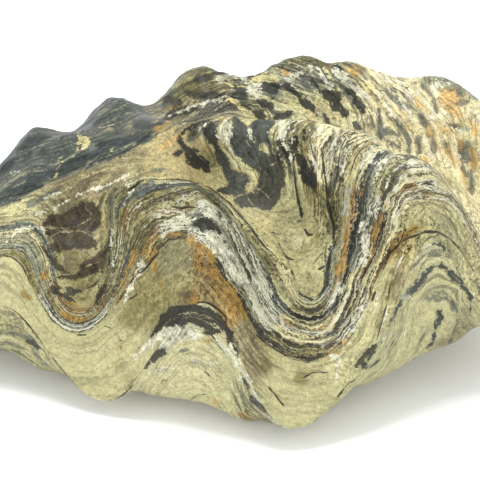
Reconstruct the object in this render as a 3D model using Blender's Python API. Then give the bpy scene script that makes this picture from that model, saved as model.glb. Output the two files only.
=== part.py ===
"""Fossil oyster shell, closed, with large rounded folds: the upper and the lower valve.

The two valves meet along a zigzag edge. Each valve is a ball whose points are moved onto
a formula: the outline of the edge seen from above, a swelling from edge to middle, and
folds that each follow an axis of their own. Lengths are in metres, +Z is up, and the
origin is under the middle of the shell, on the surface it rests on.
"""

import math

import bmesh
import bpy
import numpy as np

# Mesh of one valve: columns round it, rings of its outside, rings of its closed inner face
COLUMNS = 96
OUTER_RINGS = 22
INNER_RINGS = 4

# Height of the crack between the valves
CRACK = 0.0009

# Outline of the zigzag edge seen from above, anticlockwise from the right end: (x, y)
RIM = [
    (0.0660, 0.0030), (0.0635, 0.0140), (0.0550, 0.0240), (0.0400, 0.0320), (0.0220, 0.0362),
    (0.0020, 0.0370), (-0.0180, 0.0350), (-0.0360, 0.0308), (-0.0520, 0.0235), (-0.0620, 0.0140),
    (-0.0660, 0.0020), (-0.0620, -0.0070), (-0.0530, -0.0145), (-0.0420, -0.0195), (-0.0290, -0.0240),
    (-0.0180, -0.0280), (-0.0070, -0.0340), (0.0090, -0.0370), (0.0220, -0.0325), (0.0330, -0.0255),
    (0.0430, -0.0205), (0.0540, -0.0160), (0.0630, -0.0080),
]

# Height of the unfolded sheet between the valves at the middle, and its rise to the right
SHEET_HEIGHT = 0.0155
SHEET_RISE = 0.11

# A crown swells from 0 at the edge to 1 at the middle as (1 - rho ** p) ** q: (p, q)
FRONT_CROWN = (2.5, 0.6)
BACK_CROWN = (2.8, 0.42)
BELLY_CROWN = (2.6, 0.42)

# Upper valve: its thickness over the sheet at the middle, how that grows to the back, and the
# width of the strip where its front crown gives way to its back one
UPPER_THICKNESS = 0.028
UPPER_GROWTH = 0.30
CROWN_CHANGE = 0.024

# Lower valve: height of its belly as a share of the sheet's, and its belly's swelling
BELLY_SHARE = 0.30
BELLY_SWELLING = 0.003

# How the lower valve's outside leaves the edge, as powers of rho: the sheet under a ridge and
# under a trough, the folds, and the share of a trough that reaches further in with its power
RIDGE_SHEET_POWER = 9.0
TROUGH_SHEET_POWER = 4.0
FOLD_POWER = 20
DEEP_SHARE = 0.9
DEEP_POWER = 4

# Rounding where a ridge turns into a trough, and the depth at which a trough is fully one
TURN_ROUNDING = 0.002
TROUGH_DEPTH = 0.004

# Powers of rho with which the crack, the closed joint's folds, the slow swells and the worn
# places change from the edge to the middle
CRACK_POWER = 30
JOINT_POWER = 4
SWELL_POWER = 8
WEAR_POWER = 14

# Large folds: half width, power of the fall-off (2 a round ridge, 3 a flat-floored trough),
# and the axis from its root out past the edge: (x, y, height)
FOLDS = {
    "left crest": (0.0090, 2, [
        (-0.036, 0.002, 0.001), (-0.041, -0.006, 0.005), (-0.045, -0.014, 0.010), (-0.048, -0.030, 0.014)]),
    "left trough": (0.0095, 3, [
        (-0.027, 0.001, -0.002), (-0.030, -0.006, -0.006), (-0.031, -0.014, -0.002),
        (-0.028, -0.021, -0.004), (-0.028, -0.0245, -0.0105), (-0.028, -0.045, -0.0115)]),
    "middle crest": (0.0090, 2, [
        (-0.030, 0.001, 0.009), (-0.015, -0.007, 0.007), (-0.009, -0.018, 0.010),
        (-0.008, -0.027, 0.013), (-0.007, -0.034, 0.018), (-0.007, -0.050, 0.018)]),
    "middle trough": (0.0105, 3, [
        (0.0015, -0.002, -0.0095), (0.0085, -0.008, -0.0110), (0.0115, -0.020, -0.0085),
        (0.013, -0.030, -0.008), (0.011, -0.036, -0.0115), (0.010, -0.050, -0.0115)]),
    "right crest": (0.0075, 2, [
        (-0.013, 0.0050, 0.006), (0.004, 0.0055, 0.0080), (0.018, 0.000, 0.0058), (0.028, -0.0060, 0.006),
        (0.035, -0.0120, 0.0075), (0.0365, -0.0185, 0.0125), (0.0368, -0.024, 0.023),
        (0.037, -0.036, 0.030)]),
    "right crest lip": (0.0050, 2, [
        (-0.015, 0.0050, 0.0), (-0.009, 0.0065, 0.0010), (0.002, 0.0072, 0.0022), (0.014, 0.0045, 0.0014),
        (0.024, -0.0025, 0.0008), (0.031, -0.008, 0.0004)]),
    "long trough": (0.0070, 2, [
        (-0.012, 0.0125, -0.0035), (-0.002, 0.0130, -0.0050), (0.008, 0.0135, -0.0058),
        (0.022, 0.0100, -0.0062), (0.034, 0.0065, -0.0055), (0.043, 0.0045, -0.007),
        (0.054, -0.004, -0.009), (0.068, -0.014, -0.009)]),
    "back ridge": (0.0120, 2, [
        (-0.050, 0.008, 0.0025), (-0.044, 0.012, 0.0045), (-0.030, 0.017, 0.0035), (-0.020, 0.020, 0.0045),
        (-0.006, 0.024, 0.0065), (0.004, 0.025, 0.006), (0.026, 0.026, 0.0062), (0.044, 0.021, 0.004),
        (0.056, 0.012, 0.003)]),
    "right end crest": (0.0070, 2, [(0.050, -0.002, 0.0), (0.058, -0.003, 0.003), (0.072, -0.004, 0.009)]),
    "right end trough": (0.0065, 2, [(0.048, 0.010, 0.0), (0.058, 0.010, -0.002), (0.072, 0.010, -0.007)]),
    "left end trough": (0.0065, 2, [
        (-0.050, -0.006, 0.0), (-0.056, -0.010, -0.004), (-0.068, -0.018, -0.008)]),
    "left end crest": (0.0070, 2, [(-0.050, 0.002, 0.0), (-0.058, 0.002, 0.003), (-0.072, 0.002, 0.008)]),
    "left far trough": (0.0070, 2, [(-0.048, 0.012, 0.0), (-0.058, 0.014, -0.002), (-0.072, 0.018, -0.007)]),
}

# Smaller folds of the far side: x where the axis crosses y = FAR_LINE, height at the edge
FAR_FOLDS = [
    (-0.0520, -0.003), (-0.0440, 0.006), (-0.0360, -0.006), (-0.0280, 0.006), (-0.0190, -0.005),
    (-0.0090, 0.007), (0.0005, -0.0025), (0.0120, 0.0045), (0.0220, 0.0000), (0.0320, -0.0015),
    (0.0420, 0.0055), (0.0530, -0.0045),
]
FAR_LINE = 0.024

# Their lean, half width, where they start and over what length, the share of their height that
# they have near the middle, and the power of rho with which they grow to the edge
FAR_LEAN = 0.35
FAR_HALF_WIDTH = 0.005
FAR_START = 0.002
FAR_LENGTH = 0.020
FAR_INNER_SHARE = 0.28
FAR_POWER = 6

# Slow uneven swelling of the outsides: waves to the metre along x and y, start, height
SWELLS = [(45.0, 18.0, 0.10, 0.00045), (-21.0, 52.0, 0.35, 0.00040), (66.0, -40.0, 0.70, 0.00030)]

# Worn places that carry the shell, and places where its underside is drawn up: x, y, depth, radius
FEET = [(0.010, -0.0235, 0.0050, 0.0085), (-0.028, -0.012, 0.0032, 0.0065), (-0.018, 0.024, 0.0038, 0.008),
        (0.030, 0.022, 0.0056, 0.009)]
HOLLOWS = [(0.046, -0.017, 0.006, 0.015), (-0.050, -0.012, 0.005, 0.011)]


def spline(points, t, closed):
    """Catmull-Rom curve through the points, read at t from 0 to 1."""
    points = np.asarray(points, float)
    spans = len(points) if closed else len(points) - 1
    place = np.asarray(t, float) * spans
    first = np.clip(np.floor(place).astype(int), 0, spans - 1)
    f = (place - first)[..., None]
    if closed:
        a, b, c, d = (points[(first + k) % len(points)] for k in (-1, 0, 1, 2))
    else:
        a, b, c, d = (points[np.clip(first + k, 0, len(points) - 1)] for k in (-1, 0, 1, 2))
    cubic = (3 * b - a - 3 * c + d) * f ** 3
    return 0.5 * (2 * b + (c - a) * f + (2 * a - 5 * b + 4 * c - d) * f ** 2 + cubic)


def fold(x, y, half_width, power, axis):
    """One fold: the height that its axis carries, falling off to both sides."""
    path = spline(axis, np.linspace(0.0, 1.0, 4 * (len(axis) - 1) + 1), closed=False)
    soften = (0.6 * half_width) ** 2
    nearest = np.full(np.shape(x), np.inf)
    total = np.zeros(np.shape(x))
    weights = np.zeros(np.shape(x))
    for (x0, y0, h0), (x1, y1, h1) in zip(path[:-1], path[1:]):
        dx, dy = x1 - x0, y1 - y0
        t = np.clip(((x - x0) * dx + (y - y0) * dy) / (dx * dx + dy * dy), 0.0, 1.0)
        square = (x - x0 - t * dx) ** 2 + (y - y0 - t * dy) ** 2
        nearest = np.minimum(nearest, square)
        weight = 1.0 / (square + soften) ** 3
        total += weight * (h0 + (h1 - h0) * t)
        weights += weight
    return total / weights * np.exp(-(np.sqrt(nearest) / half_width) ** power)


def ease(t):
    """Smooth step from 0 to 1."""
    t = np.clip(t, 0.0, 1.0)
    return t * t * (3.0 - 2.0 * t)


def far_folds(x, y, rho):
    """Low folds that cross the far side and grow towards the edge."""
    across = x + FAR_LEAN * (y - FAR_LINE)
    height = sum(h * np.exp(-((across - at) / FAR_HALF_WIDTH) ** 2) for at, h in FAR_FOLDS)
    growth = FAR_INNER_SHARE + (1.0 - FAR_INNER_SHARE) * rho ** FAR_POWER
    return height * growth * ease((y - FAR_START) / FAR_LENGTH)


def lift(x, y, rho):
    """Height that all the folds add."""
    return sum(fold(x, y, *numbers) for numbers in FOLDS.values()) + far_folds(x, y, rho)


def sheet(x):
    """Height of the unfolded sheet between the valves."""
    return SHEET_HEIGHT + SHEET_RISE * x


def crown(rho, powers):
    """Swelling that is 0 at the edge and 1 at the middle."""
    return (1.0 - rho ** powers[0]) ** powers[1]


def swell(x, y, rho):
    """Slow waves that make the outside uneven and end at the edge."""
    waves = sum(h * np.sin(math.tau * (kx * x + ky * y + start)) for kx, ky, start, h in SWELLS)
    return waves * (1.0 - rho ** SWELL_POWER)


def upper_outside(x, y, rho):
    """Height of the upper valve's outside; rho runs from 0 at the middle to 1 at the edge."""
    front = ease(0.5 - y / CROWN_CHANGE)
    rise = crown(rho, FRONT_CROWN) * front + crown(rho, BACK_CROWN) * (1.0 - front)
    thickness = (UPPER_THICKNESS + UPPER_GROWTH * y) * rise
    return sheet(x) + lift(x, y, rho) + thickness + swell(x, y, rho)


def joint(x, y, rho):
    """Height of the closed joint between the valves, whose folds fade towards the middle."""
    return sheet(x) + lift(x, y, rho) * rho ** JOINT_POWER


def mound(x, y, places):
    """Round swellings at the places, each a bell of its own height and radius."""
    return sum(h * np.exp(-((x - px) ** 2 + (y - py) ** 2) / r ** 2) for px, py, h, r in places)


def lower_outside(x, y, rho):
    """Height of the lower valve's outside, which is worn flat where it rests."""
    folds = lift(x, y, rho)
    ridges = 0.5 * (folds + np.sqrt(folds ** 2 + TURN_ROUNDING ** 2))
    troughs = folds - ridges
    in_trough = np.clip(0.5 - 0.5 * folds / TROUGH_DEPTH, 0.0, 1.0)
    power = RIDGE_SHEET_POWER + (TROUGH_SHEET_POWER - RIDGE_SHEET_POWER) * in_trough
    height = sheet(x) * (BELLY_SHARE + (1.0 - BELLY_SHARE) * rho ** power)
    at_edge = rho ** FOLD_POWER
    height = height + ridges * at_edge
    height = height + troughs * (DEEP_SHARE * rho ** DEEP_POWER + (1.0 - DEEP_SHARE) * at_edge)
    height = height - BELLY_SWELLING * crown(rho, BELLY_CROWN) + swell(x, y, rho)
    height = height + (mound(x, y, HOLLOWS) - mound(x, y, FEET)) * (1.0 - rho ** WEAR_POWER)
    return np.maximum(height, 0.0)


def ball(name):
    """A unit ball whose columns and rings are the columns and rings of a valve."""
    mesh = bpy.data.meshes.new(name)
    bm = bmesh.new()
    bmesh.ops.create_uvsphere(bm, u_segments=COLUMNS, v_segments=OUTER_RINGS + INNER_RINGS, radius=1.0)
    bm.to_mesh(mesh)
    bm.free()
    return mesh


def valve(name, outside, outer_is_up, material):
    """Moves the points of a ball onto a valve: its outside, then the face that closes it."""
    mesh = ball(name)
    co = np.empty(len(mesh.vertices) * 3, np.float32)
    mesh.vertices.foreach_get("co", co)
    bx, by, bz = co.reshape(-1, 3).astype(float).T
    column = np.round(np.arctan2(by, bx) / math.tau * COLUMNS) % COLUMNS
    rings = OUTER_RINGS + INNER_RINGS
    ring = np.round(np.arccos(np.clip(bz, -1.0, 1.0)) / math.pi * rings)
    if not outer_is_up:
        ring = rings - ring
    is_outer = ring <= OUTER_RINGS
    quarter = np.where(is_outer, ring / OUTER_RINGS, (rings - ring) / INNER_RINGS)
    rho = np.clip(np.sin(0.5 * math.pi * quarter), 0.0, 1.0)
    edge = spline(RIM, column / COLUMNS, closed=True)
    x, y = edge[:, 0] * rho, edge[:, 1] * rho
    half_crack = 0.5 * CRACK if outer_is_up else -0.5 * CRACK
    outer_height = outside(x, y, rho) + half_crack * rho ** CRACK_POWER
    z = np.where(is_outer, outer_height, joint(x, y, rho) + half_crack)
    mesh.vertices.foreach_set("co", np.stack([x, y, z], axis=1).astype(np.float32).ravel())
    bm = bmesh.new()
    bm.from_mesh(mesh)
    bmesh.ops.triangulate(bm, faces=bm.faces[:], quad_method="BEAUTY")
    bmesh.ops.recalc_face_normals(bm, faces=bm.faces[:])
    bm.to_mesh(mesh)
    bm.free()
    mesh.materials.append(material)
    mesh.shade_smooth()
    mesh.set_sharp_from_angle(angle=math.radians(70.0))
    return bpy.data.objects.new(name, mesh)


def stone(name, colour, roughness):
    """Polished stone of one colour."""
    material = bpy.data.materials.new(name)
    material.use_nodes = True
    shader = material.node_tree.nodes["Principled BSDF"]
    shader.inputs["Base Color"].default_value = (*colour, 1.0)
    shader.inputs["Roughness"].default_value = roughness
    shader.inputs["Metallic"].default_value = 0.0
    return material


def main():
    for thing in list(bpy.data.objects):
        bpy.data.objects.remove(thing, do_unlink=True)
    collection = bpy.data.collections.new("fossil_oyster_shell")
    bpy.context.scene.collection.children.link(collection)
    banded = stone("banded stone", (0.36, 0.31, 0.20), 0.35)
    pale = stone("pale stone", (0.58, 0.52, 0.34), 0.45)
    collection.objects.link(valve("upper_valve", upper_outside, True, banded))
    collection.objects.link(valve("lower_valve", lower_outside, False, pale))


main()
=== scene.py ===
"""Fossil oyster shell, polished: dense surfaces of the two valves, with their layers and marks.

Each valve is the formula of the CAD solid on a fine grid. Its layers, patches, veins and
cracks were traced in pixels of the 480 by 480 photograph. Every traced point is put on the
surface under its pixel, and what lies between the points follows from distance, so the
marks are fixed to the stone and hold from all sides.
"""

import math

import bpy
import numpy as np
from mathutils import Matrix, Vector


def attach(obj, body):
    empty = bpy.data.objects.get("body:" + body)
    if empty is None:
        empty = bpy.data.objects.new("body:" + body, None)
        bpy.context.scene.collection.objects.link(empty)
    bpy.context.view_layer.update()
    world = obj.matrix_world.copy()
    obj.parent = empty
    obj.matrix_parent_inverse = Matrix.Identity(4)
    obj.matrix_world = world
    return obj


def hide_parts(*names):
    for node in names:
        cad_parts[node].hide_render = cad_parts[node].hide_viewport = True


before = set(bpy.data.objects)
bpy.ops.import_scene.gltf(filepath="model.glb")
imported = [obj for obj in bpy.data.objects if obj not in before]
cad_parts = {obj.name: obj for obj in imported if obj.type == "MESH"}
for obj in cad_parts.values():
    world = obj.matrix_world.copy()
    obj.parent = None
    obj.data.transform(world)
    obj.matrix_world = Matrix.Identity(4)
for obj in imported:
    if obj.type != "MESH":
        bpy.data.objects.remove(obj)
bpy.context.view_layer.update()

# Form of the valves, as in the CAD source; metres

# Outline of the zigzag edge seen from above, anticlockwise from the right end: (x, y)
RIM = [
    (0.0660, 0.0030), (0.0635, 0.0140), (0.0550, 0.0240), (0.0400, 0.0320), (0.0220, 0.0362),
    (0.0020, 0.0370), (-0.0180, 0.0350), (-0.0360, 0.0308), (-0.0520, 0.0235), (-0.0620, 0.0140),
    (-0.0660, 0.0020), (-0.0620, -0.0070), (-0.0530, -0.0145), (-0.0420, -0.0195), (-0.0290, -0.0240),
    (-0.0180, -0.0280), (-0.0070, -0.0340), (0.0090, -0.0370), (0.0220, -0.0325), (0.0330, -0.0255),
    (0.0430, -0.0205), (0.0540, -0.0160), (0.0630, -0.0080),
]

# Height of the unfolded sheet between the valves at the middle, and its rise to the right
SHEET_HEIGHT = 0.0155
SHEET_RISE = 0.11

# A crown swells from 0 at the edge to 1 at the middle as (1 - rho ** p) ** q: (p, q)
FRONT_CROWN = (2.5, 0.6)
BACK_CROWN = (2.8, 0.42)
BELLY_CROWN = (2.6, 0.42)

# Upper valve: its thickness over the sheet at the middle, how that grows to the back, and the
# width of the strip where its front crown gives way to its back one
UPPER_THICKNESS = 0.028
UPPER_GROWTH = 0.30
CROWN_CHANGE = 0.024

# Lower valve: height of its belly as a share of the sheet's, and its belly's swelling
BELLY_SHARE = 0.30
BELLY_SWELLING = 0.003

# How the lower valve's outside leaves the edge, as powers of rho: the sheet under a ridge and
# under a trough, the folds, and the share of a trough that reaches further in with its power
RIDGE_SHEET_POWER = 9.0
TROUGH_SHEET_POWER = 4.0
FOLD_POWER = 20
DEEP_SHARE = 0.9
DEEP_POWER = 4

# Rounding where a ridge turns into a trough, and the depth at which a trough is fully one
TURN_ROUNDING = 0.002
TROUGH_DEPTH = 0.004

# Powers of rho with which the crack, the closed joint's folds, the slow swells and the worn
# places change from the edge to the middle
CRACK_POWER = 30
JOINT_POWER = 4
SWELL_POWER = 8
WEAR_POWER = 14

# Large folds: half width, power of the fall-off (2 a round ridge, 3 a flat-floored trough),
# and the axis from its root out past the edge: (x, y, height)
FOLDS = {
    "left crest": (0.0090, 2, [
        (-0.036, 0.002, 0.001), (-0.041, -0.006, 0.005), (-0.045, -0.014, 0.010), (-0.048, -0.030, 0.014)]),
    "left trough": (0.0095, 3, [
        (-0.027, 0.001, -0.002), (-0.030, -0.006, -0.006), (-0.031, -0.014, -0.002),
        (-0.028, -0.021, -0.004), (-0.028, -0.0245, -0.0105), (-0.028, -0.045, -0.0115)]),
    "middle crest": (0.0090, 2, [
        (-0.030, 0.001, 0.009), (-0.015, -0.007, 0.007), (-0.009, -0.018, 0.010),
        (-0.008, -0.027, 0.013), (-0.007, -0.034, 0.018), (-0.007, -0.050, 0.018)]),
    "middle trough": (0.0105, 3, [
        (0.0015, -0.002, -0.0095), (0.0085, -0.008, -0.0110), (0.0115, -0.020, -0.0085),
        (0.013, -0.030, -0.008), (0.011, -0.036, -0.0115), (0.010, -0.050, -0.0115)]),
    "right crest": (0.0075, 2, [
        (-0.013, 0.0050, 0.006), (0.004, 0.0055, 0.0080), (0.018, 0.000, 0.0058), (0.028, -0.0060, 0.006),
        (0.035, -0.0120, 0.0075), (0.0365, -0.0185, 0.0125), (0.0368, -0.024, 0.023),
        (0.037, -0.036, 0.030)]),
    "right crest lip": (0.0050, 2, [
        (-0.015, 0.0050, 0.0), (-0.009, 0.0065, 0.0010), (0.002, 0.0072, 0.0022), (0.014, 0.0045, 0.0014),
        (0.024, -0.0025, 0.0008), (0.031, -0.008, 0.0004)]),
    "long trough": (0.0070, 2, [
        (-0.012, 0.0125, -0.0035), (-0.002, 0.0130, -0.0050), (0.008, 0.0135, -0.0058),
        (0.022, 0.0100, -0.0062), (0.034, 0.0065, -0.0055), (0.043, 0.0045, -0.007),
        (0.054, -0.004, -0.009), (0.068, -0.014, -0.009)]),
    "back ridge": (0.0120, 2, [
        (-0.050, 0.008, 0.0025), (-0.044, 0.012, 0.0045), (-0.030, 0.017, 0.0035), (-0.020, 0.020, 0.0045),
        (-0.006, 0.024, 0.0065), (0.004, 0.025, 0.006), (0.026, 0.026, 0.0062), (0.044, 0.021, 0.004),
        (0.056, 0.012, 0.003)]),
    "right end crest": (0.0070, 2, [(0.050, -0.002, 0.0), (0.058, -0.003, 0.003), (0.072, -0.004, 0.009)]),
    "right end trough": (0.0065, 2, [(0.048, 0.010, 0.0), (0.058, 0.010, -0.002), (0.072, 0.010, -0.007)]),
    "left end trough": (0.0065, 2, [
        (-0.050, -0.006, 0.0), (-0.056, -0.010, -0.004), (-0.068, -0.018, -0.008)]),
    "left end crest": (0.0070, 2, [(-0.050, 0.002, 0.0), (-0.058, 0.002, 0.003), (-0.072, 0.002, 0.008)]),
    "left far trough": (0.0070, 2, [(-0.048, 0.012, 0.0), (-0.058, 0.014, -0.002), (-0.072, 0.018, -0.007)]),
}

# Smaller folds of the far side: x where the axis crosses y = FAR_LINE, height at the edge
FAR_FOLDS = [
    (-0.0520, -0.003), (-0.0440, 0.006), (-0.0360, -0.006), (-0.0280, 0.006), (-0.0190, -0.005),
    (-0.0090, 0.007), (0.0005, -0.0025), (0.0120, 0.0045), (0.0220, 0.0000), (0.0320, -0.0015),
    (0.0420, 0.0055), (0.0530, -0.0045),
]
FAR_LINE = 0.024

# Their lean, half width, where they start and over what length, the share of their height that
# they have near the middle, and the power of rho with which they grow to the edge
FAR_LEAN = 0.35
FAR_HALF_WIDTH = 0.005
FAR_START = 0.002
FAR_LENGTH = 0.020
FAR_INNER_SHARE = 0.28
FAR_POWER = 6

# Slow uneven swelling of the outsides: waves to the metre along x and y, start, height
SWELLS = [(45.0, 18.0, 0.10, 0.00045), (-21.0, 52.0, 0.35, 0.00040), (66.0, -40.0, 0.70, 0.00030)]

# Worn places that carry the shell, and places where its underside is drawn up: x, y, depth, radius
FEET = [(0.010, -0.0235, 0.0050, 0.0085), (-0.028, -0.012, 0.0032, 0.0065), (-0.018, 0.024, 0.0038, 0.008),
        (0.030, 0.022, 0.0056, 0.009)]
HOLLOWS = [(0.046, -0.017, 0.006, 0.015), (-0.050, -0.012, 0.005, 0.011)]


def spline(points, t, closed):
    """Catmull-Rom curve through the points, read at t from 0 to 1."""
    points = np.asarray(points, float)
    spans = len(points) if closed else len(points) - 1
    place = np.asarray(t, float) * spans
    first = np.clip(np.floor(place).astype(int), 0, spans - 1)
    f = (place - first)[..., None]
    if closed:
        a, b, c, d = (points[(first + k) % len(points)] for k in (-1, 0, 1, 2))
    else:
        a, b, c, d = (points[np.clip(first + k, 0, len(points) - 1)] for k in (-1, 0, 1, 2))
    cubic = (3 * b - a - 3 * c + d) * f ** 3
    return 0.5 * (2 * b + (c - a) * f + (2 * a - 5 * b + 4 * c - d) * f ** 2 + cubic)


def fold(x, y, half_width, power, axis):
    """One fold: the height that its axis carries, falling off to both sides."""
    path = spline(axis, np.linspace(0.0, 1.0, 4 * (len(axis) - 1) + 1), closed=False)
    soften = (0.6 * half_width) ** 2
    nearest = np.full(np.shape(x), np.inf)
    total = np.zeros(np.shape(x))
    weights = np.zeros(np.shape(x))
    for (x0, y0, h0), (x1, y1, h1) in zip(path[:-1], path[1:]):
        dx, dy = x1 - x0, y1 - y0
        t = np.clip(((x - x0) * dx + (y - y0) * dy) / (dx * dx + dy * dy), 0.0, 1.0)
        square = (x - x0 - t * dx) ** 2 + (y - y0 - t * dy) ** 2
        nearest = np.minimum(nearest, square)
        weight = 1.0 / (square + soften) ** 3
        total += weight * (h0 + (h1 - h0) * t)
        weights += weight
    return total / weights * np.exp(-(np.sqrt(nearest) / half_width) ** power)


def ease(t):
    """Smooth step from 0 to 1."""
    t = np.clip(t, 0.0, 1.0)
    return t * t * (3.0 - 2.0 * t)


def far_folds(x, y, rho):
    """Low folds that cross the far side and grow towards the edge."""
    across = x + FAR_LEAN * (y - FAR_LINE)
    height = sum(h * np.exp(-((across - at) / FAR_HALF_WIDTH) ** 2) for at, h in FAR_FOLDS)
    growth = FAR_INNER_SHARE + (1.0 - FAR_INNER_SHARE) * rho ** FAR_POWER
    return height * growth * ease((y - FAR_START) / FAR_LENGTH)


def lift(x, y, rho):
    """Height that all the folds add."""
    return sum(fold(x, y, *numbers) for numbers in FOLDS.values()) + far_folds(x, y, rho)


def sheet(x):
    """Height of the unfolded sheet between the valves."""
    return SHEET_HEIGHT + SHEET_RISE * x


def crown(rho, powers):
    """Swelling that is 0 at the edge and 1 at the middle."""
    return (1.0 - rho ** powers[0]) ** powers[1]


def swell(x, y, rho):
    """Slow waves that make the outside uneven and end at the edge."""
    waves = sum(h * np.sin(math.tau * (kx * x + ky * y + start)) for kx, ky, start, h in SWELLS)
    return waves * (1.0 - rho ** SWELL_POWER)


def upper_outside(x, y, rho):
    """Height of the upper valve's outside; rho runs from 0 at the middle to 1 at the edge."""
    front = ease(0.5 - y / CROWN_CHANGE)
    rise = crown(rho, FRONT_CROWN) * front + crown(rho, BACK_CROWN) * (1.0 - front)
    thickness = (UPPER_THICKNESS + UPPER_GROWTH * y) * rise
    return sheet(x) + lift(x, y, rho) + thickness + swell(x, y, rho)


def joint(x, y, rho):
    """Height of the closed joint between the valves, whose folds fade towards the middle."""
    return sheet(x) + lift(x, y, rho) * rho ** JOINT_POWER


def mound(x, y, places):
    """Round swellings at the places, each a bell of its own height and radius."""
    return sum(h * np.exp(-((x - px) ** 2 + (y - py) ** 2) / r ** 2) for px, py, h, r in places)


def lower_outside(x, y, rho):
    """Height of the lower valve's outside, which is worn flat where it rests."""
    folds = lift(x, y, rho)
    ridges = 0.5 * (folds + np.sqrt(folds ** 2 + TURN_ROUNDING ** 2))
    troughs = folds - ridges
    in_trough = np.clip(0.5 - 0.5 * folds / TROUGH_DEPTH, 0.0, 1.0)
    power = RIDGE_SHEET_POWER + (TROUGH_SHEET_POWER - RIDGE_SHEET_POWER) * in_trough
    height = sheet(x) * (BELLY_SHARE + (1.0 - BELLY_SHARE) * rho ** power)
    at_edge = rho ** FOLD_POWER
    height = height + ridges * at_edge
    height = height + troughs * (DEEP_SHARE * rho ** DEEP_POWER + (1.0 - DEEP_SHARE) * at_edge)
    height = height - BELLY_SWELLING * crown(rho, BELLY_CROWN) + swell(x, y, rho)
    height = height + (mound(x, y, HOLLOWS) - mound(x, y, FEET)) * (1.0 - rho ** WEAR_POWER)
    return np.maximum(height, 0.0)


# What the photograph shows

# The camera that the tracings belong to: its place in metres, its downward tilt, its focal
# length and the side of its picture in pixels, and the size of a pixel at the shell
EYE = (0.0, -0.4330, 0.2760)
TILT = math.radians(30.0)
FOCAL = 2500.0
PICTURE = 480.0
PIXEL = 0.0002

# Depth counts this much beside a distance across the picture
DEPTH_SHARE = 0.35

# Colours of the stone, as they show on a screen, 0 to 255; the brightest pale, over the right crest's roll
# and the far right end, is partly pale stone and partly a painted highlight
COLOURS = {
    "white": (218, 216, 187), "off white": (216, 214, 186), "cream": (220, 213, 160),
    "yellow": (212, 200, 142), "pale and painted highlight": (250, 238, 186), "pale": (208, 202, 149),
    "pale olive": (184, 178, 128), "tan": (160, 149, 110), "olive": (146, 138, 90),
    "dark olive": (112, 106, 66), "brown": (118, 98, 60), "rust": (152, 122, 62), "ochre": (172, 142, 90),
    "deep ochre": (170, 134, 72), "orange": (214, 176, 108), "honey": (196, 180, 126),
    "grey": (146, 149, 124), "blue grey": (112, 122, 110), "slate": (86, 92, 85), "charcoal": (62, 62, 53),
    "brown black": (68, 59, 44), "blue black": (70, 76, 72), "slate black": (58, 66, 64),
    "leaf": (46, 48, 41), "warm slate": (110, 111, 95), "black": (38, 38, 33),
    "grey green": (146, 142, 104), "warm grey": (118, 114, 98),
}

# Stations along the front band of the upper valve, from left to right. Each gives a pixel on
# the band's foot and one on its upper limit: (foot across, foot down, limit across, limit down)
STATIONS = [
    (0, 256, 0, 226), (11, 258, 13, 225), (20, 265, 33, 224), (27, 278, 50, 248), (34, 291, 54, 272),
    (45, 311, 60, 292), (60, 327, 68, 305), (78, 334, 78, 309), (97, 326, 91, 306), (110, 313, 98, 294),
    (121, 298, 105, 280), (131, 284, 109, 264), (140, 272, 110, 248), (148, 262, 110, 228),
    (155, 252, 111, 208), (162, 246, 121, 190), (170, 240, 149, 177), (180, 238, 178, 178),
    (192, 241, 198, 182), (203, 247, 216, 191), (213, 259, 232, 206), (224, 275, 250, 227),
    (234, 291, 267, 245), (243, 306, 282, 261), (251, 321, 290, 275), (262, 337, 296, 288),
    (280, 351, 302, 296), (305, 361, 310, 299), (328, 356, 319, 295), (345, 344, 325, 284),
    (356, 328, 327, 266), (366, 306, 330, 250), (375, 282, 334, 235), (384, 262, 336, 218),
    (392, 244, 336, 200), (399, 229, 336, 185),
]

# Levels of the layers: 0 at the band's foot, BAND at its upper limit
BAND = 60.0

# Further lines that keep one level, over the right crest: level, pixels along the line
LEVEL_LINES = [
    (0, [(404, 214), (412, 203), (425, 199), (440, 200), (452, 206), (460, 216), (468, 230), (476, 247)]),
    (7, [(384, 243), (390, 225), (398, 208), (407, 195), (420, 190), (437, 190), (452, 197), (463, 212),
         (473, 232)]),
    (15, [(377, 243), (384, 222), (392, 200), (402, 185), (415, 177), (432, 177), (450, 187), (462, 203),
          (474, 226)]),
    (23, [(369, 245), (375, 220), (384, 195), (392, 178), (405, 166), (420, 163), (438, 171)]),
    (34, [(359, 245), (363, 215), (367, 195), (373, 178), (383, 162), (395, 154), (405, 153)]),
    (45, [(348, 245), (352, 215), (355, 195), (361, 175), (369, 160), (380, 150), (392, 148)]),
    (60, [(337, 200), (341, 175), (348, 156), (358, 144), (368, 139), (375, 138)]),
    (75, [(327, 225), (325, 200), (323, 175), (325, 155), (332, 143), (341, 134), (350, 132)]),
    (90, [(315, 200), (311, 180), (309, 160), (310, 145), (315, 133), (322, 126), (330, 125)]),
    (105, [(299, 205), (297, 185), (296, 165), (293, 150), (292, 138), (296, 128), (305, 121)]),
    (120, [(286, 190), (284, 170), (279, 152), (276, 138), (278, 128), (287, 119)]),
    (140, [(270, 190), (265, 165), (258, 148), (252, 135), (255, 122), (262, 118)]),
    (160, [(250, 188), (242, 168), (232, 150), (226, 135), (226, 122), (231, 118)]),
    (175, [(226, 178), (219, 160), (211, 143), (210, 130), (217, 120), (222, 118)]),
    (190, [(206, 165), (196, 150), (187, 141), (185, 132), (196, 121)]),
    (70, [(84, 255), (92, 240), (99, 215)]),
    (85, [(70, 225), (90, 180)]),
]

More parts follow.
